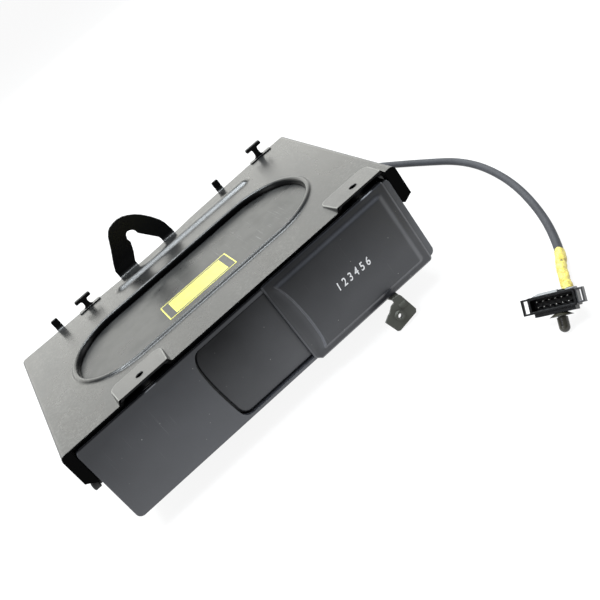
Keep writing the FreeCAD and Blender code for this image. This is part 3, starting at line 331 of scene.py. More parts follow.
def label_mat(name):
    """yellow sticker with a plain frame and a blank bar"""
    s = Nt(name, (0.85, 0.70, 0.05), 0.42, ior=1.4, edge=0)
    sep = s.n("ShaderNodeSeparateXYZ")
    s.link(s.co, sep.inputs[0])
    c = W(129.4, 66.5, 0)
    u = s.math('ABSOLUTE', s.math('SUBTRACT', sep.outputs["X"], c.x))
    v = s.math('ABSOLUTE', s.math('SUBTRACT', sep.outputs["Y"], c.y))

    def ring(hx, hy, w):
        d = s.math('MAXIMUM', s.math('SUBTRACT', u, hx), s.math('SUBTRACT', v, hy))
        return s.math('LESS_THAN', s.math('ABSOLUTE', d), w)

    n1 = s.noise(160.0, 3.0, 0.6)
    base = s.mix(s.ramp(n1, [(0.3, 0.0), (0.7, 1.0)]), (0.31, 0.285, 0.040), (0.36, 0.34, 0.060))
    bar = s.math('LESS_THAN', s.math('MAXIMUM', s.math('SUBTRACT', u, 0.0226), s.math('SUBTRACT', v, 0.0104)), 0.0)
    yellow = s.math('MAXIMUM', ring(0.0286, 0.0124, 0.00045), bar)
    ghost = s.math('MULTIPLY', ring(0.0200, 0.0052, 0.00020), 0.7)
    base = s.mix(ghost, base, (0.12, 0.11, 0.03))
    s.color(s.mix(yellow, (0.016, 0.016, 0.0155), base))
    s.rough(s.math('ADD', s.math('MULTIPLY', n1, 0.15), 0.36))
    s.bump(s.noise(60.0, 2.0), 0.12, 0.0006)
    return s.m


def ink(name):
    s = Nt(name, (0.72, 0.73, 0.75), 0.5, edge=0)
    s.color(s.mix(s.ramp(s.noise(1400.0, 2.0), [(0.25, 0.0), (0.5, 1.0)]), (0.45, 0.46, 0.48), (0.76, 0.77, 0.79)))
    return s.m


def pcb(name):
    s = Nt(name, (0.015, 0.11, 0.04), 0.35)
    br = s.n("ShaderNodeTexBrick")
    br.inputs["Scale"].default_value = 160.0
    s.link(s.co, br.inputs["Vector"])
    s.color(s.mix(s.ramp(br.outputs["Fac"], [(0.3, 0.0), (0.7, 1.0)]), (0.012, 0.10, 0.04), (0.03, 0.17, 0.07)))
    s.bump(s.noise(900.0, 2.0), 0.1, 0.0001)
    return s.m


def lid_mat(name):
    """coated lid seen through the oval: dusty, with rubbed streaks"""
    s = Nt(name, (0.03, 0.031, 0.032), 0.3, ior=1.29)
    smear = s.noise(30.0, 5.0, 0.62, s.mapped((0.5, 1.0, 1.0), (0, 0, 0.3)), 0.9)
    blot = s.noise(70.0, 3.0, 0.6)
    scr = s.math('MAXIMUM', s.lines(0.9, 2300.0, 0.69, 0.75), s.lines(-0.3, 2500.0, 0.70, 0.76))
    scr = s.math('MAXIMUM', scr, s.lines(1.7, 2500.0, 0.70, 0.76))
    speck = s.ramp(s.voronoi(330.0), [(0.0, 1.0), (0.06, 0.0)])
    speck = s.math('MULTIPLY', speck, s.ramp(s.noise(90.0, 1.0), [(0.5, 0.0), (0.6, 1.0)]))
    c = s.mix(s.ramp(smear, [(0.3, 0.0), (0.75, 1.0)]), (0.004, 0.0043, 0.0048), (0.036, 0.0355, 0.0335))
    c = s.mix(s.math('MULTIPLY', scr, 0.5), c, (0.30, 0.30, 0.29))
    c = s.mix(s.math('MULTIPLY', speck, 0.5), c, (0.42, 0.41, 0.38))
    s.color(c)
    r = s.math('ADD', s.math('MULTIPLY', s.ramp(smear, [(0.3, 0.0), (0.8, 1.0)]), 0.22), 0.22)
    r = s.math('ADD', r, s.math('MULTIPLY', s.ramp(blot, [(0.4, 0.0), (0.7, 1.0)]), 0.08), True)
    s.rough(r)
    s.bump(s.noise(22.0, 2.0), 0.12, 0.0012)
    return s.m


M = {
    "ecoat": ecoat("ecoat_black"),
    # painted shade: ecoat_deep is a darker copy of the black coat, meant for faces in shade; no part uses it
    "ecoat_deep": ecoat("ecoat_deep", base=(0.0015, 0.0015, 0.0015), rough=0.42, ior=1.2, dust=0.05),
    "ecoat_olive": ecoat("ecoat_olive", base=(0.074, 0.076, 0.066), rough=0.34, ior=1.5, dust=0.6, shade=0.0),
    "front": plastic("front_plastic", (0.0235, 0.0253, 0.0305), 0.38, marks=1.5, painted_light_fade=(0.80, 1.75, 1.2), lip=(0.0791, -0.0676)),
    "door": plastic("door_plastic", (0.0165, 0.0177, 0.0215), 0.34, painted_light_fade=(0.27, 1.35, 2.2), bevel_highlight=1.6, lip=(0.0806, 0.1082)),
    "leaf": plastic("leaf_plastic", (0.0165, 0.0177, 0.0215), 0.34, painted_light_fade=(0.29, 1.60, 3.0), bevel_highlight=0.5),
    # painted highlight: a lighter coat for the thin line along the pads' upper edges
    "highlight_line": ecoat("painted_highlight_line", (0.060, 0.059, 0.054), 0.30, dust=0.8),
    "black": plastic("black_plastic", (0.010, 0.010, 0.0105), 0.42, marks=0.3),
    "clip": plastic("clip_plastic", (0.0022, 0.0022, 0.0022), 0.5, marks=0.0, ior=1.25),
    "tray": plastic("tray_plastic", (0.07, 0.07, 0.075), 0.4, marks=0.2),
    "rubber": plastic("soft_rubber", (0.012, 0.012, 0.012), 0.7, grain=900.0, marks=0.3),
    "zinc": zinc("zinc_sheet"),
    "screw": metal("black_zinc_screw", (0.10, 0.10, 0.105), 0.34),
    "steel": metal("bright_steel", (0.62, 0.62, 0.61), 0.28, 1.0),
    "wire": metal("spring_wire", (0.5, 0.5, 0.5), 0.3),
    "can": metal("capacitor_can", (0.72, 0.72, 0.72), 0.3),
    "lid": lid_mat("lid_coat"),
    "board": pcb("board_green"),
    "chip": plastic("chip_epoxy", (0.012, 0.012, 0.012), 0.5, marks=0.0),
    "lens": plastic("lens_clear", (0.10, 0.12, 0.25), 0.08, marks=0.0, bump=0.02),
    "jacket": jacket("cable_jacket"),
    "tape": tape("yellow_tape"),
    "label": label_mat("yellow_label"),
    "ink": ink("door_ink"),
    "peg": plastic("peg_plastic", (0.020, 0.0185, 0.0125), 0.24, marks=0.0, ior=1.5),
    "conn": plastic("connector_black", (0.0016, 0.0016, 0.0019), 0.34, marks=0.0, ior=1.27),
    "conn_grey": plastic("connector_grey", (0.115, 0.118, 0.120), 0.42, marks=0.2),
    "conn_dim": plastic("connector_dim_grey", (0.010, 0.0105, 0.012), 0.32, marks=0.2),
    "pin": metal("tinned_pin", (0.42, 0.41, 0.38), 0.3),
}

NODE_MAT = {
    "bracket_plate": "ecoat", "tee_posts": "clip", "flange_spacers": "rubber", "flange_screws": "screw",
    "side_stud": "rubber", "chassis_tub": "zinc", "case_lid": "lid", "lid_screws": "screw", "lid_label": "label",
    "front_bezel": "front", "slot_fascia": "black", "outer_door": "door", "inner_door": "leaf", "eject_button": "black",
    "button_guide": "zinc", "button_spring": "wire", "lower_bracket": "ecoat_olive", "bracket_screws": "screw",
    "magazine_case": "black", "magazine_guide": "zinc", "ejector_lever": "zinc", "lever_post": "screw",
    "guide_posts": "steel", "elevator_frame": "zinc", "damper_bushes": "rubber", "mech_plate": "zinc",
    "spindle_motor": "steel", "turntable": "black", "sled_rails": "steel", "rail_holders": "black", "pickup": "black",
    "pickup_lens": "lens", "sled_screw": "steel", "sled_motor": "steel", "cam_slide": "zinc", "cam_guides": "steel",
    "elevator_motor": "steel", "elevator_bearings": "zinc", "elevator_screw": "steel", "feed_roller": "rubber",
    "feed_motor": "steel", "feed_bearing": "zinc", "main_board": "board", "board_standoffs": "screw",
    "board_chips": "chip", "board_capacitors": "can", "board_socket": "black", "cable_gland": "rubber",
    "cable": "jacket", "cable_tape": "tape", "connector_housing": "conn", "connector_lock": "conn_grey",
    "connector_latch": "conn_dim", "mount_peg": "peg"}
for n in range(1, 7):
    NODE_MAT["tray_%d" % n] = "tray"
for n, o in NODES.items():
    o.data.materials.clear()
    o.data.materials.append(M[NODE_MAT[n]])
    for p in o.data.polygons:
        p.use_smooth = True
    o.data.set_sharp_from_angle(angle=math.radians(32))
    wn = o.modifiers.new("weighted", 'WEIGHTED_NORMAL')
    wn.keep_sharp = True


# ------------------------------------------------------------------
# Mesh helpers, in local mm
# ------------------------------------------------------------------
def make(name, verts, faces, mat, body="changer", slot=None, replaces=(), smooth=35.0, world=False):
    me = bpy.data.meshes.new(name)
    me.from_pydata([v if world else W(*v) for v in verts], [], faces)
    bm = bmesh.new()
    bm.from_mesh(me)
    bmesh.ops.remove_doubles(bm, verts=bm.verts, dist=2e-6)
    bmesh.ops.recalc_face_normals(bm, faces=bm.faces)
    bm.to_mesh(me)
    bm.free()
    for p in me.polygons:
        p.use_smooth = True
    me.set_sharp_from_angle(angle=math.radians(smooth))
    me.materials.append(M[mat] if isinstance(mat, str) else mat)
    o = bpy.data.objects.new(name, me)
    SCN.collection.objects.link(o)
    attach(o, body)
    if replaces:
        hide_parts(*replaces)
    return o


def bevel(o, width, seg=3, angle=30.0):
    b = o.modifiers.new("bevel", 'BEVEL')
    b.width = width / 1000
    b.segments = seg
    b.limit_method = 'ANGLE'
    b.angle_limit = math.radians(angle)
    b.harden_normals = True
    return o


def prism(name, pts, axis, lo, hi, mat, **kw):
    """outline pts (two coordinates in the plane across axis) pushed from lo to hi"""
    n = len(pts)
    def at(p, h):
        return {"x": (h, p[0], p[1]), "y": (p[0], h, p[1]), "z": (p[0], p[1], h)}[axis]
    v = [at(p, lo) for p in pts] + [at(p, hi) for p in pts]
    f = [list(range(n))[::-1], [n + i for i in range(n)]]
    f += [[i, (i + 1) % n, n + (i + 1) % n, n + i] for i in range(n)]
    return make(name, v, f, mat, **kw)


def rounded(pts, radii, seg=6):
    """rounds the corners of an outline"""
    out = []
    n = len(pts)
    for i, (p, r) in enumerate(zip(pts, radii)):
        if r <= 0:
            out.append(p)
            continue
        a, b = Vector(pts[i - 1]) - Vector(p), Vector(pts[(i + 1) % n]) - Vector(p)
        la, lb = a.length, b.length
        a.normalize(); b.normalize()
        half = a.angle(b) / 2
        d = min(r / math.tan(half), la * 0.49, lb * 0.49)
        rr = d * math.tan(half)
        c = Vector(p) + (a + b).normalized() * (rr / math.sin(half))
        s, e = Vector(p) + a * d - c, Vector(p) + b * d - c
        turn = s.angle(e)
        for k in range(seg + 1):
            t = k / seg
            w = s * (math.sin((1 - t) * turn) / math.sin(turn)) + e * (math.sin(t * turn) / math.sin(turn))
            out.append(tuple(c + w))
    return out


def sstep(a, b, x):
    t = min(1.0, max(0.0, (x - a) / (b - a)))
    return t * t * (3 - 2 * t)


# ------------------------------------------------------------------
# Pressed shapes of the bracket plate, drawn out of the sheet with soft edges
# ------------------------------------------------------------------
def field(name, xs, ys, height, mat, keep=None, **kw):
    """sheet over a grid; height(x, y) in mm"""
    v = [(x, y, height(x, y)) for y in ys for x in xs]
    n = len(xs)
    f = []
    for j in range(len(ys) - 1):
        for i in range(n - 1):
            cx, cy = (xs[i] + xs[i + 1]) / 2, (ys[j] + ys[j + 1]) / 2
            if keep is None or keep(cx, cy):
                f.append([j * n + i, j * n + i + 1, (j + 1) * n + i + 1, (j + 1) * n + i])
    return make(name, v, f, mat, smooth=60.0, **kw)


def steps(a, b, d):
    n = max(1, round((b - a) / d))
    return [a + (b - a) * i / n for i in range(n + 1)]


def in_rrect(x, y, x0, y0, x1, y1, r):
    """distance inside a rounded rectangle"""
    qx = max(x0 + r - x, x - x1 + r)
    qy = max(y0 + r - y, y - y1 + r)
    return -(min(max(qx, qy), 0.0) + math.hypot(max(qx, 0.0), max(qy, 0.0)) - r)


for k, (bx0, bx1, hx) in enumerate(((44.0, 83.5, 63.8), (219.6, 257.6, 239.6))):
    def pad(x, y, bx0=bx0, bx1=bx1):
        top = 2.96 - 0.085 * max(0.0, y)
        d = in_rrect(x, y, bx0 - 1.1, -40, bx1 + 1.1, 26.4, 7.0)
        return 0.03 + top * sstep(0.0, 0.8 * top, d)

    field("pad_%s" % "LR"[k], steps(bx0 - 2.6, min(bx1 + 2.6, 259.8), 0.4), steps(0.0, 28.6, 0.4), pad, "ecoat",
          keep=lambda cx, cy, hx=hx: math.hypot(cx - hx, cy - 10.6) > 3.2)
    # turned rim of the pad's hole
    v, f = [], []
    prof = [(2.78, -0.6), (2.80, -0.14), (2.95, 0.0), (3.3, 0.045), (3.75, 0.04), (4.0, 0.01)]
    for i in range(48):
        a = 2 * math.pi * i / 48
        v += [(hx + r * math.cos(a), 10.6 + r * math.sin(a), 2.99 - 0.085 * (10.6 + r * math.sin(a)) + z) for r, z in prof]
    for i in range(48):
        j = (i + 1) % 48
        f += [[i * 6 + q, i * 6 + q + 1, j * 6 + q + 1, j * 6 + q] for q in range(5)]
    make("pad_rim_%s" % "LR"[k], v, f, "ecoat", smooth=60.0)
    # the pad's upper edge: a thin raised line in a lighter coat, a painted highlight
    line = []
    for x, y, ux, uy in ([(bx0 - 1.1, 0.2 + 19.2 * i / 16, -1.0, 0.0) for i in range(16)]
                         + [(bx0 + 5.9 - 7.0 * math.cos(a), 19.4 + 7.0 * math.sin(a), -math.cos(a), math.sin(a))
                            for a in (math.pi / 2 * i / 12 for i in range(13))]
                         + [(bx0 + 5.9 + (bx1 - bx0 - 11.8) * i / 24, 26.4, 0.0, 1.0) for i in range(1, 24)]
                         + [(bx1 - 5.9 + 7.0 * math.sin(a), 19.4 + 7.0 * math.cos(a), math.sin(a), math.cos(a))
                            for a in (math.pi / 2 * i / 12 for i in range(13))]
                         + [(bx1 + 1.1, 19.4 - 19.2 * i / 16, 1.0, 0.0) for i in range(1, 17)]):
        w = 0.8 * (2.96 - 0.085 * max(0.0, y))
        line.append((x - ux * w, y - uy * w, ux, uy))
    v, f = [], []
    for x, y, ux, uy in line:
        top = 0.03 + 2.96 - 0.085 * max(0.0, y)
        for u, dz in ((-0.36, 0.01), (-0.18, 0.07), (0.06, 0.08), (0.28, -0.02), (0.5, -0.24)):
            v.append((min(x + ux * u, 259.8), y + uy * u, top + dz))
    for i in range(len(line) - 1):
        f += [[i * 5 + q, i * 5 + q + 1, i * 5 + 6 + q, i * 5 + 5 + q] for q in range(4)]
    make("pad_line_%s" % "LR"[k], v, f, "highlight_line", smooth=60.0)


def ridge(x, y):
    r = math.hypot(max(91.0 - x, 0.0, x - 211.5), y - 151.6)
    return 0.03 + 2.27 * (1 - sstep(1.2, 7.0, r))


field("rear_rib", steps(83.6, 218.9, 0.9), steps(144.2, 159.0, 0.45), ridge, "ecoat")

# T posts: dark studs on thin steel feet
for k, (x, y, fx0, fx1, z) in enumerate(((63.1, 169.0, 53.9, 73.6, 7.1), (239.7, 174.6, 230.3, 250.6, 8.3))):
    bevel(prism("post_foot_%d" % (k + 1), rounded([(fx0, y - 4.4), (fx1, y - 4.4), (fx1, y), (fx0, y)], [1.2] * 4), "z", 0.0, 0.9,
                "ecoat"), 0.3, 2)
    stem = [(x - 4.2, 0.9), (x + 4.2, 0.9), (x + 2.9, 1.5), (x + 2.4, 2.4), (x + 2.2, 3.4), (x + 2.1, z - 1.6), (x + 2.5, z - 0.7),
            (x + 3.2, z), (x - 3.2, z), (x - 2.5, z - 0.7), (x - 2.1, z - 1.6), (x - 2.2, 3.4), (x - 2.4, 2.4), (x - 2.9, 1.5)]
    kw = {"replaces": ("tee_posts",)} if k == 0 else {}
    bevel(prism("post_stem_%d" % (k + 1), stem, "y", y - 2.5, y - 0.3, "clip", **kw), 0.35, 3, 50)
    bar = rounded([(x - 7.0, z), (x + 7.0, z), (x + 7.0, z + 3.0), (x - 7.0, z + 3.0)], [0.9, 0.9, 1.2, 1.2])
    bevel(prism("post_bar_%d" % (k + 1), bar, "y", y - 2.9, y, "clip"), 0.45, 3, 50)

# near-black strips that close the gaps beside the bezel: painted shade, a dark sheet where the gaps are in shade
prism("gap_shade_L", [(-1.4, -2.9), (5.24, -2.9), (5.24, -28.6), (3.7, -28.6), (3.0, -27.0), (-1.4, -24.0)], "y", 2.1, 5.5, "clip")
prism("side_gap_shade", [(2.2, -4.6), (5.24, -4.6), (5.24, -14.0), (2.2, -14.0)], "y", 5.6, 14.0, "clip")
prism("gap_shade_R", [(257.5, -2.9), (264.2, -2.9), (264.2, -22.4), (259.0, -24.4), (257.5, -23.6)], "y", 2.1, 5.5, "clip")


# ------------------------------------------------------------------
# Door leaves
# ------------------------------------------------------------------
leaf = [(100.2, -7.1), (98.2, -7.8), (96.4, -9.3), (94.8, -11.8), (93.7, -14.4), (92.9, -18.2), (92.6, -24.0), (92.6, -30.0),
        (93.0, -37.9), (93.9, -47.8), (94.9, -56.5), (95.7, -59.7), (97.2, -61.8), (99.4, -63.1), (102.0, -63.5),
        (159.8, -63.5), (159.8, -7.1)]
bevel(prism("inner_leaf_skin", leaf, "y", 1.42, 3.6, "leaf", body="inner_leaf", replaces=("inner_door",)), 1.4, 5, 40)


def crease_x(z):
    tab = [(-1.7, 157.9), (-6.8, 158.6), (-11.2, 160.2), (-16.4, 161.5), (-23.0, 162.6), (-30.2, 163.2), (-37.5, 163.6),
           (-44.4, 163.6), (-50.0, 163.4), (-55.2, 163.0), (-59.6, 162.1), (-63.2, 160.8), (-68.3, 158.4)]
    for (z0, x0), (z1, x1) in zip(tab, tab[1:]):
        if z >= z1:
            return x0 + (x1 - x0) * sstep(0, 1, (z0 - z) / (z0 - z1)) * 0.35 + (x1 - x0) * 0.65 * (z0 - z) / (z0 - z1)
    return tab[-1][1]


def door_left(z):
    if z > -3.6:
        return 152.4 + 1.9 - math.sqrt(max(0.0, 1.9 ** 2 - (z + 3.6) ** 2))
    if z < -64.6:
        return 152.4 + (-64.6 - z) * 1.05
    return 152.4


def door_right(z):
    r = 2.4
    for c, sgn in ((-1.7 - r, 1), (-68.3 + r, -1)):
        if (z - c) * sgn > 0:
            return 252.8 - r + math.sqrt(max(0.0, r * r - (z - c) ** 2))
    return 252.8


def door_face(x, z):
    xl, xr, xc = door_left(z), door_right(z), crease_x(z)
    d = min(x - xl, xr - x, -1.7 - z, z + 68.3)
    y = -3.0 + 0.9 * (1 - sstep(-0.2, 1.5, d))
    if x <= xc:
        t = (x - xl) / max(0.1, xc - xl)
        return y + 1.0 * math.sin(math.pi * min(1.0, max(0.0, t))) * sstep(-5.0, -13.0, z) * sstep(-67.0, -60.0, z)
    h = sstep(0.0, 1.3, x - xc) * sstep(0.0, 5.2, 248.4 - x) * sstep(0.0, 3.6, -5.9 - z) * sstep(0.0, 3.2, z + 64.4)
    return y - 1.95 * h


def outer_leaf():
    zs = ([-1.7 - 0.2 * i for i in range(10)] + [-3.7 - 0.55 * i for i in range(114)] + [-66.4 - 0.2 * i for i in range(10)]
          + [-68.3])
    zs = [z for z in zs if z >= -68.3]
    us = ([0.06 * i * i for i in range(5)] + [1.0 + 0.5 * i for i in range(40)])
    left = [u for u in us if u < 10.4]
    nl = 22
    nr = 110
    v, f = [], []
    cols = nl + nr + 1
    for z in zs:
        xl, xc, xr = door_left(z), crease_x(z), door_right(z)
        row = [xl + (xc - xl) * (0.5 - 0.5 * math.cos(math.pi * i / nl)) for i in range(nl)]
        for i in range(nr + 1):
            t = i / nr
            t = 0.6 * t + 0.4 * (0.5 - 0.5 * math.cos(math.pi * t))
            row.append(xc + (xr - xc) * t)
        v += [(x, door_face(x, z), z) for x in row]
    n = len(zs)
    for j in range(n - 1):
        for i in range(cols - 1):
            f.append([j * cols + i, (j + 1) * cols + i, (j + 1) * cols + i + 1, j * cols + i + 1])
    rim = ([i for i in range(cols)] + [j * cols + cols - 1 for j in range(1, n)]
           + [(n - 1) * cols + i for i in range(cols - 2, -1, -1)] + [j * cols for j in range(n - 2, 0, -1)])
    base = len(v)
    v += [(v[q][0], -1.4, v[q][2]) for q in rim]
    m = len(rim)
    f += [[rim[q], rim[(q + 1) % m], base + (q + 1) % m, base + q] for q in range(m)]
    f.append([base + q for q in range(m)])
    # hooks over the top and the bottom edge
    for x0, x1 in ((160.0, 180.0), (230.0, 250.0)):
        for b in ((x0, -1.5, -2.8, x1, 2.5, -1.9), (x0, 1.6, -3.9, x1, 2.5, -1.9), (x0, -1.5, -68.0, x1, 2.5, -67.1),
                  (x0, 1.6, -68.0, x1, 2.5, -66.0)):
            c = len(v)
            v += [(b[q & 1 and 3 or 0], b[q & 2 and 4 or 1], b[q & 4 and 5 or 2]) for q in range(8)]
            f += [[c + q for q in w] for w in ((0, 1, 3, 2), (4, 6, 7, 5), (0, 4, 5, 1), (2, 3, 7, 6), (0, 2, 6, 4), (1, 5, 7, 3))]
    return make("outer_leaf_skin", v, f, "door", body="outer_leaf", replaces=("outer_door",), smooth=50.0)


outer_leaf()


# ------------------------------------------------------------------
# Numerals printed on the outer door
# ------------------------------------------------------------------
def numerals(name, text, x0, x1, z0, z1, y, body, mat):
    cu = bpy.data.curves.new(name + "_line", 'FONT')
    cu.body = text
    cu.size = 1.0
    cu.shear = 0.12
    cu.offset = 0.012
    t = bpy.data.objects.new(name + "_line", cu)
    SCN.collection.objects.link(t)
    dg = bpy.context.evaluated_depsgraph_get()
    me = bpy.data.meshes.new_from_object(t.evaluated_get(dg))
    bpy.data.objects.remove(t)
    bpy.data.curves.remove(cu)
    lo = [min(v.co[i] for v in me.vertices) for i in (0, 1)]
    hi = [max(v.co[i] for v in me.vertices) for i in (0, 1)]
    for v in me.vertices:
        v.co = W(x0 + (v.co.x - lo[0]) / (hi[0] - lo[0]) * (x1 - x0), y, z0 + (v.co.y - lo[1]) / (hi[1] - lo[1]) * (z1 - z0))
    me.materials.clear()
    me.materials.append(M[mat])
    for p in me.polygons:
        p.material_index = 0
    o = bpy.data.objects.new(name, me)
    SCN.collection.objects.link(o)
    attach(o, body)
    return o


numerals("door_numerals", "1 2 3 4 5 6", 190.6, 217.2, -38.9, -33.0, -4.98, "outer_leaf", "ink")


# ------------------------------------------------------------------
# Pigtail cable, on its route
# ------------------------------------------------------------------
CR = 2.7
ZC = FLOOR_Z + CR + 0.05
ROUTE = [(240.0, 181.0, -50.0), (240.0, 207.0, -50.0), (244.0, 230.0, -68.0), (269.0, 244.0, ZC), (298.0, 235.0, ZC),
         (316.5, 203.0, ZC), (335.0, 141.0, ZC), (348.5, 89.0, ZC), (341.0, 28.0, ZC), (320.0, -31.0, ZC),
         (296.0, -74.0, FLOOR_Z + 3.2), (280.5, -93.0, FLOOR_Z + 8.0), (266.0, -118.8, FLOOR_Z + 10.9)]


def route_curve(name, bevel_depth):
    cu = bpy.data.curves.new(name, 'CURVE')
    cu.dimensions = '3D'
    sp = cu.splines.new('NURBS')
    sp.points.add(len(ROUTE) - 1)
    for pt, p in zip(sp.points, ROUTE):
        pt.co = (*W(*p), 1.0)
    sp.order_u = 3
    sp.use_endpoint_u = True
    sp.resolution_u = 24
    cu.resolution_u = 24
    cu.bevel_depth = bevel_depth
    cu.bevel_resolution = 8
    cu.use_fill_caps = True
    o = bpy.data.objects.new(name, cu)
    SCN.collection.objects.link(o)
    return o


def curve_points(o):
    dg = bpy.context.evaluated_depsgraph_get()
    me = bpy.data.meshes.new_from_object(o.evaluated_get(dg))
    pts = [v.co.copy() for v in me.vertices]
    bpy.data.meshes.remove(me)
    return pts


probe = route_curve("route_probe", 0.0)
LINE = curve_points(probe)
bpy.data.objects.remove(probe)
LENGTH = sum((b - a).length for a, b in zip(LINE, LINE[1:]))
print("cable length on its line: %.4f m" % LENGTH)

cable = route_curve("pigtail_cable", CR / 1000)
cable.data.materials.append(M["jacket"])
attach(cable, "changer")
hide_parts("cable")



def walk(a, b):
    """points of the cable's own line between two lengths from the exit, in metres"""
    out, run = [], 0.0
    for p, q in zip(LINE, LINE[1:]):
        if a <= run <= b:
            out.append(p)
        run += (q - p).length
    return out


def sweep(name, pts, radius, mat, around=40, closed_ends=True, **kw):
    """skin around a line; radius(t, angle) in mm, t from 0 to 1"""
    v, f = [], []
    up = Vector((0, 0, 1))
    n = len(pts)
    for i, p in enumerate(pts):
        d = (pts[min(i + 1, n - 1)] - pts[max(i - 1, 0)]).normalized()
        x = d.cross(up).normalized()
        y = x.cross(d).normalized()
        for k in range(around):
            a = 2 * math.pi * k / around
            r = radius(i / (n - 1), a) / 1000
            v.append(p + x * (r * math.cos(a)) + y * (r * math.sin(a)))
    for i in range(n - 1):
        for k in range(around):
            j = (k + 1) % around
            f.append([i * around + k, i * around + j, (i + 1) * around + j, (i + 1) * around + k])
    if closed_ends:
        f.append([k for k in range(around)][::-1])
        f.append([(n - 1) * around + k for k in range(around)])
    return make(name, v, f, mat, world=True, **kw)


def spread(pts, count):
    """the same line cut into even steps"""
    cum = [0.0]
    for p, q in zip(pts, pts[1:]):
        cum.append(cum[-1] + (q - p).length)
    out, k = [], 0
    for i in range(count):
        t = cum[-1] * i / (count - 1)
        while k < len(pts) - 2 and cum[k + 1] < t:
            k += 1
        u = (t - cum[k]) / max(1e-9, cum[k + 1] - cum[k])
        out.append(pts[k].lerp(pts[k + 1], min(1.0, u)))
    return out


# crumpled tape around the end of the cable
def tape_r(t, a):
    q = Vector((math.cos(a) * 1.1, math.sin(a) * 1.1, t * 9.0))
    n1 = noise.noise(q * 1.3)
    n2 = abs(noise.noise(q * 3.1 + Vector((4, 1, 7))))
    wind = 0.16 * math.sin(a + t * 30.0)
    end = 0.45 * (1 - sstep(0.0, 0.05, t)) + 0.3 * sstep(0.94, 1.0, t)
    return 2.98 + 0.42 * n1 + 0.5 * n2 + wind - end


tape_pts = spread(walk(LENGTH - 0.0565, LENGTH + 1), 130)
sweep("tape_wrap", tape_pts, tape_r, "tape", around=56, replaces=("cable_tape",), slot="yellow_tape", smooth=28.0)

# connector details, in the connector's own frame: x along the row, y to the back, z up
CN_T, CN_A = math.radians(-49.3), math.radians(41.8)
CN_X = Vector((math.cos(CN_T), math.sin(CN_T), 0))
CN_B = Vector((-math.sin(CN_T), math.cos(CN_T), 0))
CN_Y = CN_B * math.cos(CN_A) - Vector((0, 0, 1)) * math.sin(CN_A)
CN_Z = Vector((0, 0, 1)) * math.cos(CN_A) + CN_B * math.sin(CN_A)
CN_O = Vector((244.9, -109.3, FLOOR_Z + 13.5))


def cn(x, y, z):
    p = CN_O + CN_X * x + CN_Y * y + CN_Z * z
    return (p.x, p.y, p.z)


BOX_FACES = ((0, 1, 3, 2), (4, 6, 7, 5), (0, 4, 5, 1), (2, 3, 7, 6), (0, 2, 6, 4), (1, 5, 7, 3))


def cn_boxes(name, boxes, mat, taper=0.0, **kw):
    v, f = [], []
    for x0, y0, z0, x1, y1, z1 in boxes:
        c = len(v)
        for q in range(8):
            t = taper if (q & 2) == 0 else 0.0
            v.append(cn((x1 - t) if q & 1 else (x0 + t), y1 if q & 2 else y0, (z1 - t) if q & 4 else (z0 + t)))
        f += [[c + q for q in w] for w in BOX_FACES]
    return make(name, v, f, mat, **kw)


tips = [(4.25 + i * 3.4, 1.35, z - 0.45, 5.15 + i * 3.4, 3.0, z + 0.45) for i in range(6) for z in (3.1, 6.1)]
cn_boxes("pin_tips", tips, "pin", taper=0.22)
bevel(cn_boxes("collar", [(18.6, 3.9, 8.9, 25.4, 8.6, 10.1), (21.0, 1.6, 8.9, 25.6, 3.8, 9.8)], "conn_grey"), 0.3, 2)

# soft sleeve that holds the cable where it leaves the case
sleeve_pts = spread([W(240, 167.4, -50), W(240, 174.0, -50)] + walk(0.0, 0.028), 140)


def sleeve_r(t, a):
    y = t * 41.5
    if y < 3.2:
        return 6.5
    base = 5.9 - 2.5 * sstep(6.0, 41.0, y) if y > 5.0 else 5.9
    rib = 0.45 if (y > 8.0 and y < 36.0 and (y % 4.0) < 2.2) else 0.0
    return max(2.85, base - rib)


sweep("gland_sleeve", sleeve_pts, sleeve_r, "rubber", around=48, replaces=("cable_gland",))


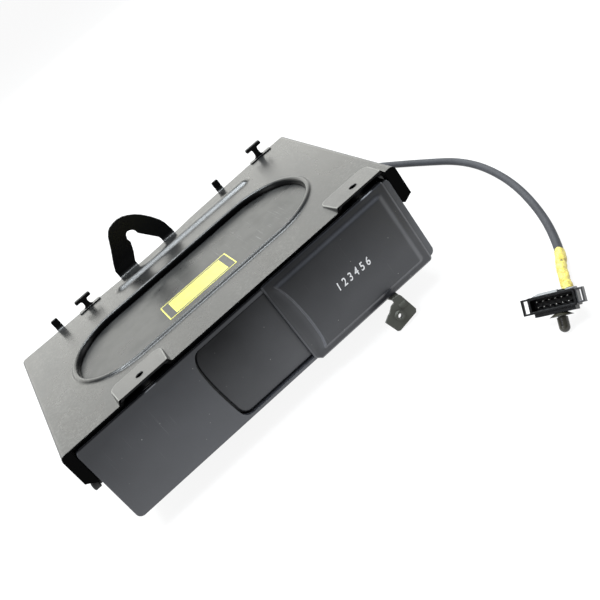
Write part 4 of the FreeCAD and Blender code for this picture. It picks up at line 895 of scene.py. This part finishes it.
# ------------------------------------------------------------------
# Floor and light
# ------------------------------------------------------------------
def floor():
    v, f = [], []
    prof = [(-4.0, 0.0), (6.0, 0.0)] + [(6.0 + 3.0 * math.sin(a), 3.0 - 3.0 * math.cos(a))
                                       for a in [math.radians(d) for d in range(5, 91, 5)]] + [(9.0, 9.0)]
    for y, z in prof:
        v += [(-12.0, y, z), (12.0, y, z)]
    for i in range(len(prof) - 1):
        f.append([2 * i, 2 * i + 1, 2 * i + 3, 2 * i + 2])
    me = bpy.data.meshes.new("studio_floor")
    me.from_pydata(v, [], f)
    for p in me.polygons:
        p.use_smooth = True
    s = Nt("floor_paper", (0.11, 0.11, 0.11), 0.95, ior=1.1, edge=0)
    s.color(s.mix(s.noise(3.0, 2.0), (0.107, 0.107, 0.107), (0.113, 0.113, 0.113)))
    s.p.inputs["Emission Color"].default_value = (1, 1, 1, 1)
    s.p.inputs["Emission Strength"].default_value = 0.88
    me.materials.append(s.m)
    o = bpy.data.objects.new("studio_floor", me)
    SCN.collection.objects.link(o)
    return o


floor()


def area(name, loc, target, sx, sy, radiance, color=(1, 1, 1)):
    d = bpy.data.lights.new(name, 'AREA')
    d.shape = 'RECTANGLE'
    d.size, d.size_y = sx, sy
    d.energy = radiance * math.pi * sx * sy
    d.color = color
    o = bpy.data.objects.new(name, d)
    SCN.collection.objects.link(o)
    o.location = loc
    dirn = Vector(target) - Vector(loc)
    o.rotation_euler = dirn.to_track_quat('-Z', 'Y').to_euler()
    return o


area("back_softbox", (0.0, 1.60, 0.98), (0, 0, 0.1), 3.8, 1.58, 2.15, (1.0, 1.0, 0.93))
area("high_softbox", (-0.1, 0.15, 1.50), (0, 0, 0.05), 1.7, 1.2, 6.5, (0.91, 0.965, 1.0))
area("high_strip", (-0.05, 0.13, 1.40), (0, 0, 0.05), 1.7, 0.17, 42.0, (0.88, 0.95, 1.0))
area("front_fill", (-0.9, -1.5, 0.9), (0, 0, 0.0), 1.0, 0.8, 0.8)
area("right_softbox", (1.7, -0.35, 0.55), (0, 0, 0.05), 1.0, 0.9, 3.2)
area("left_softbox", (-1.7, -0.75, 0.55), (0, 0, 0.05), 1.0, 0.9, 3.0)
world = bpy.data.worlds.new("studio_world")
SCN.world = world
world.use_nodes = True
world.node_tree.nodes["Background"].inputs["Color"].default_value = (0.97, 0.98, 1.0, 1)
world.node_tree.nodes["Background"].inputs["Strength"].default_value = 0.35
SCN.view_settings.view_transform = 'Standard'
SCN.view_settings.look = 'None'
SCN.view_settings.exposure = 0.0
SCN.view_settings.gamma = 1.0
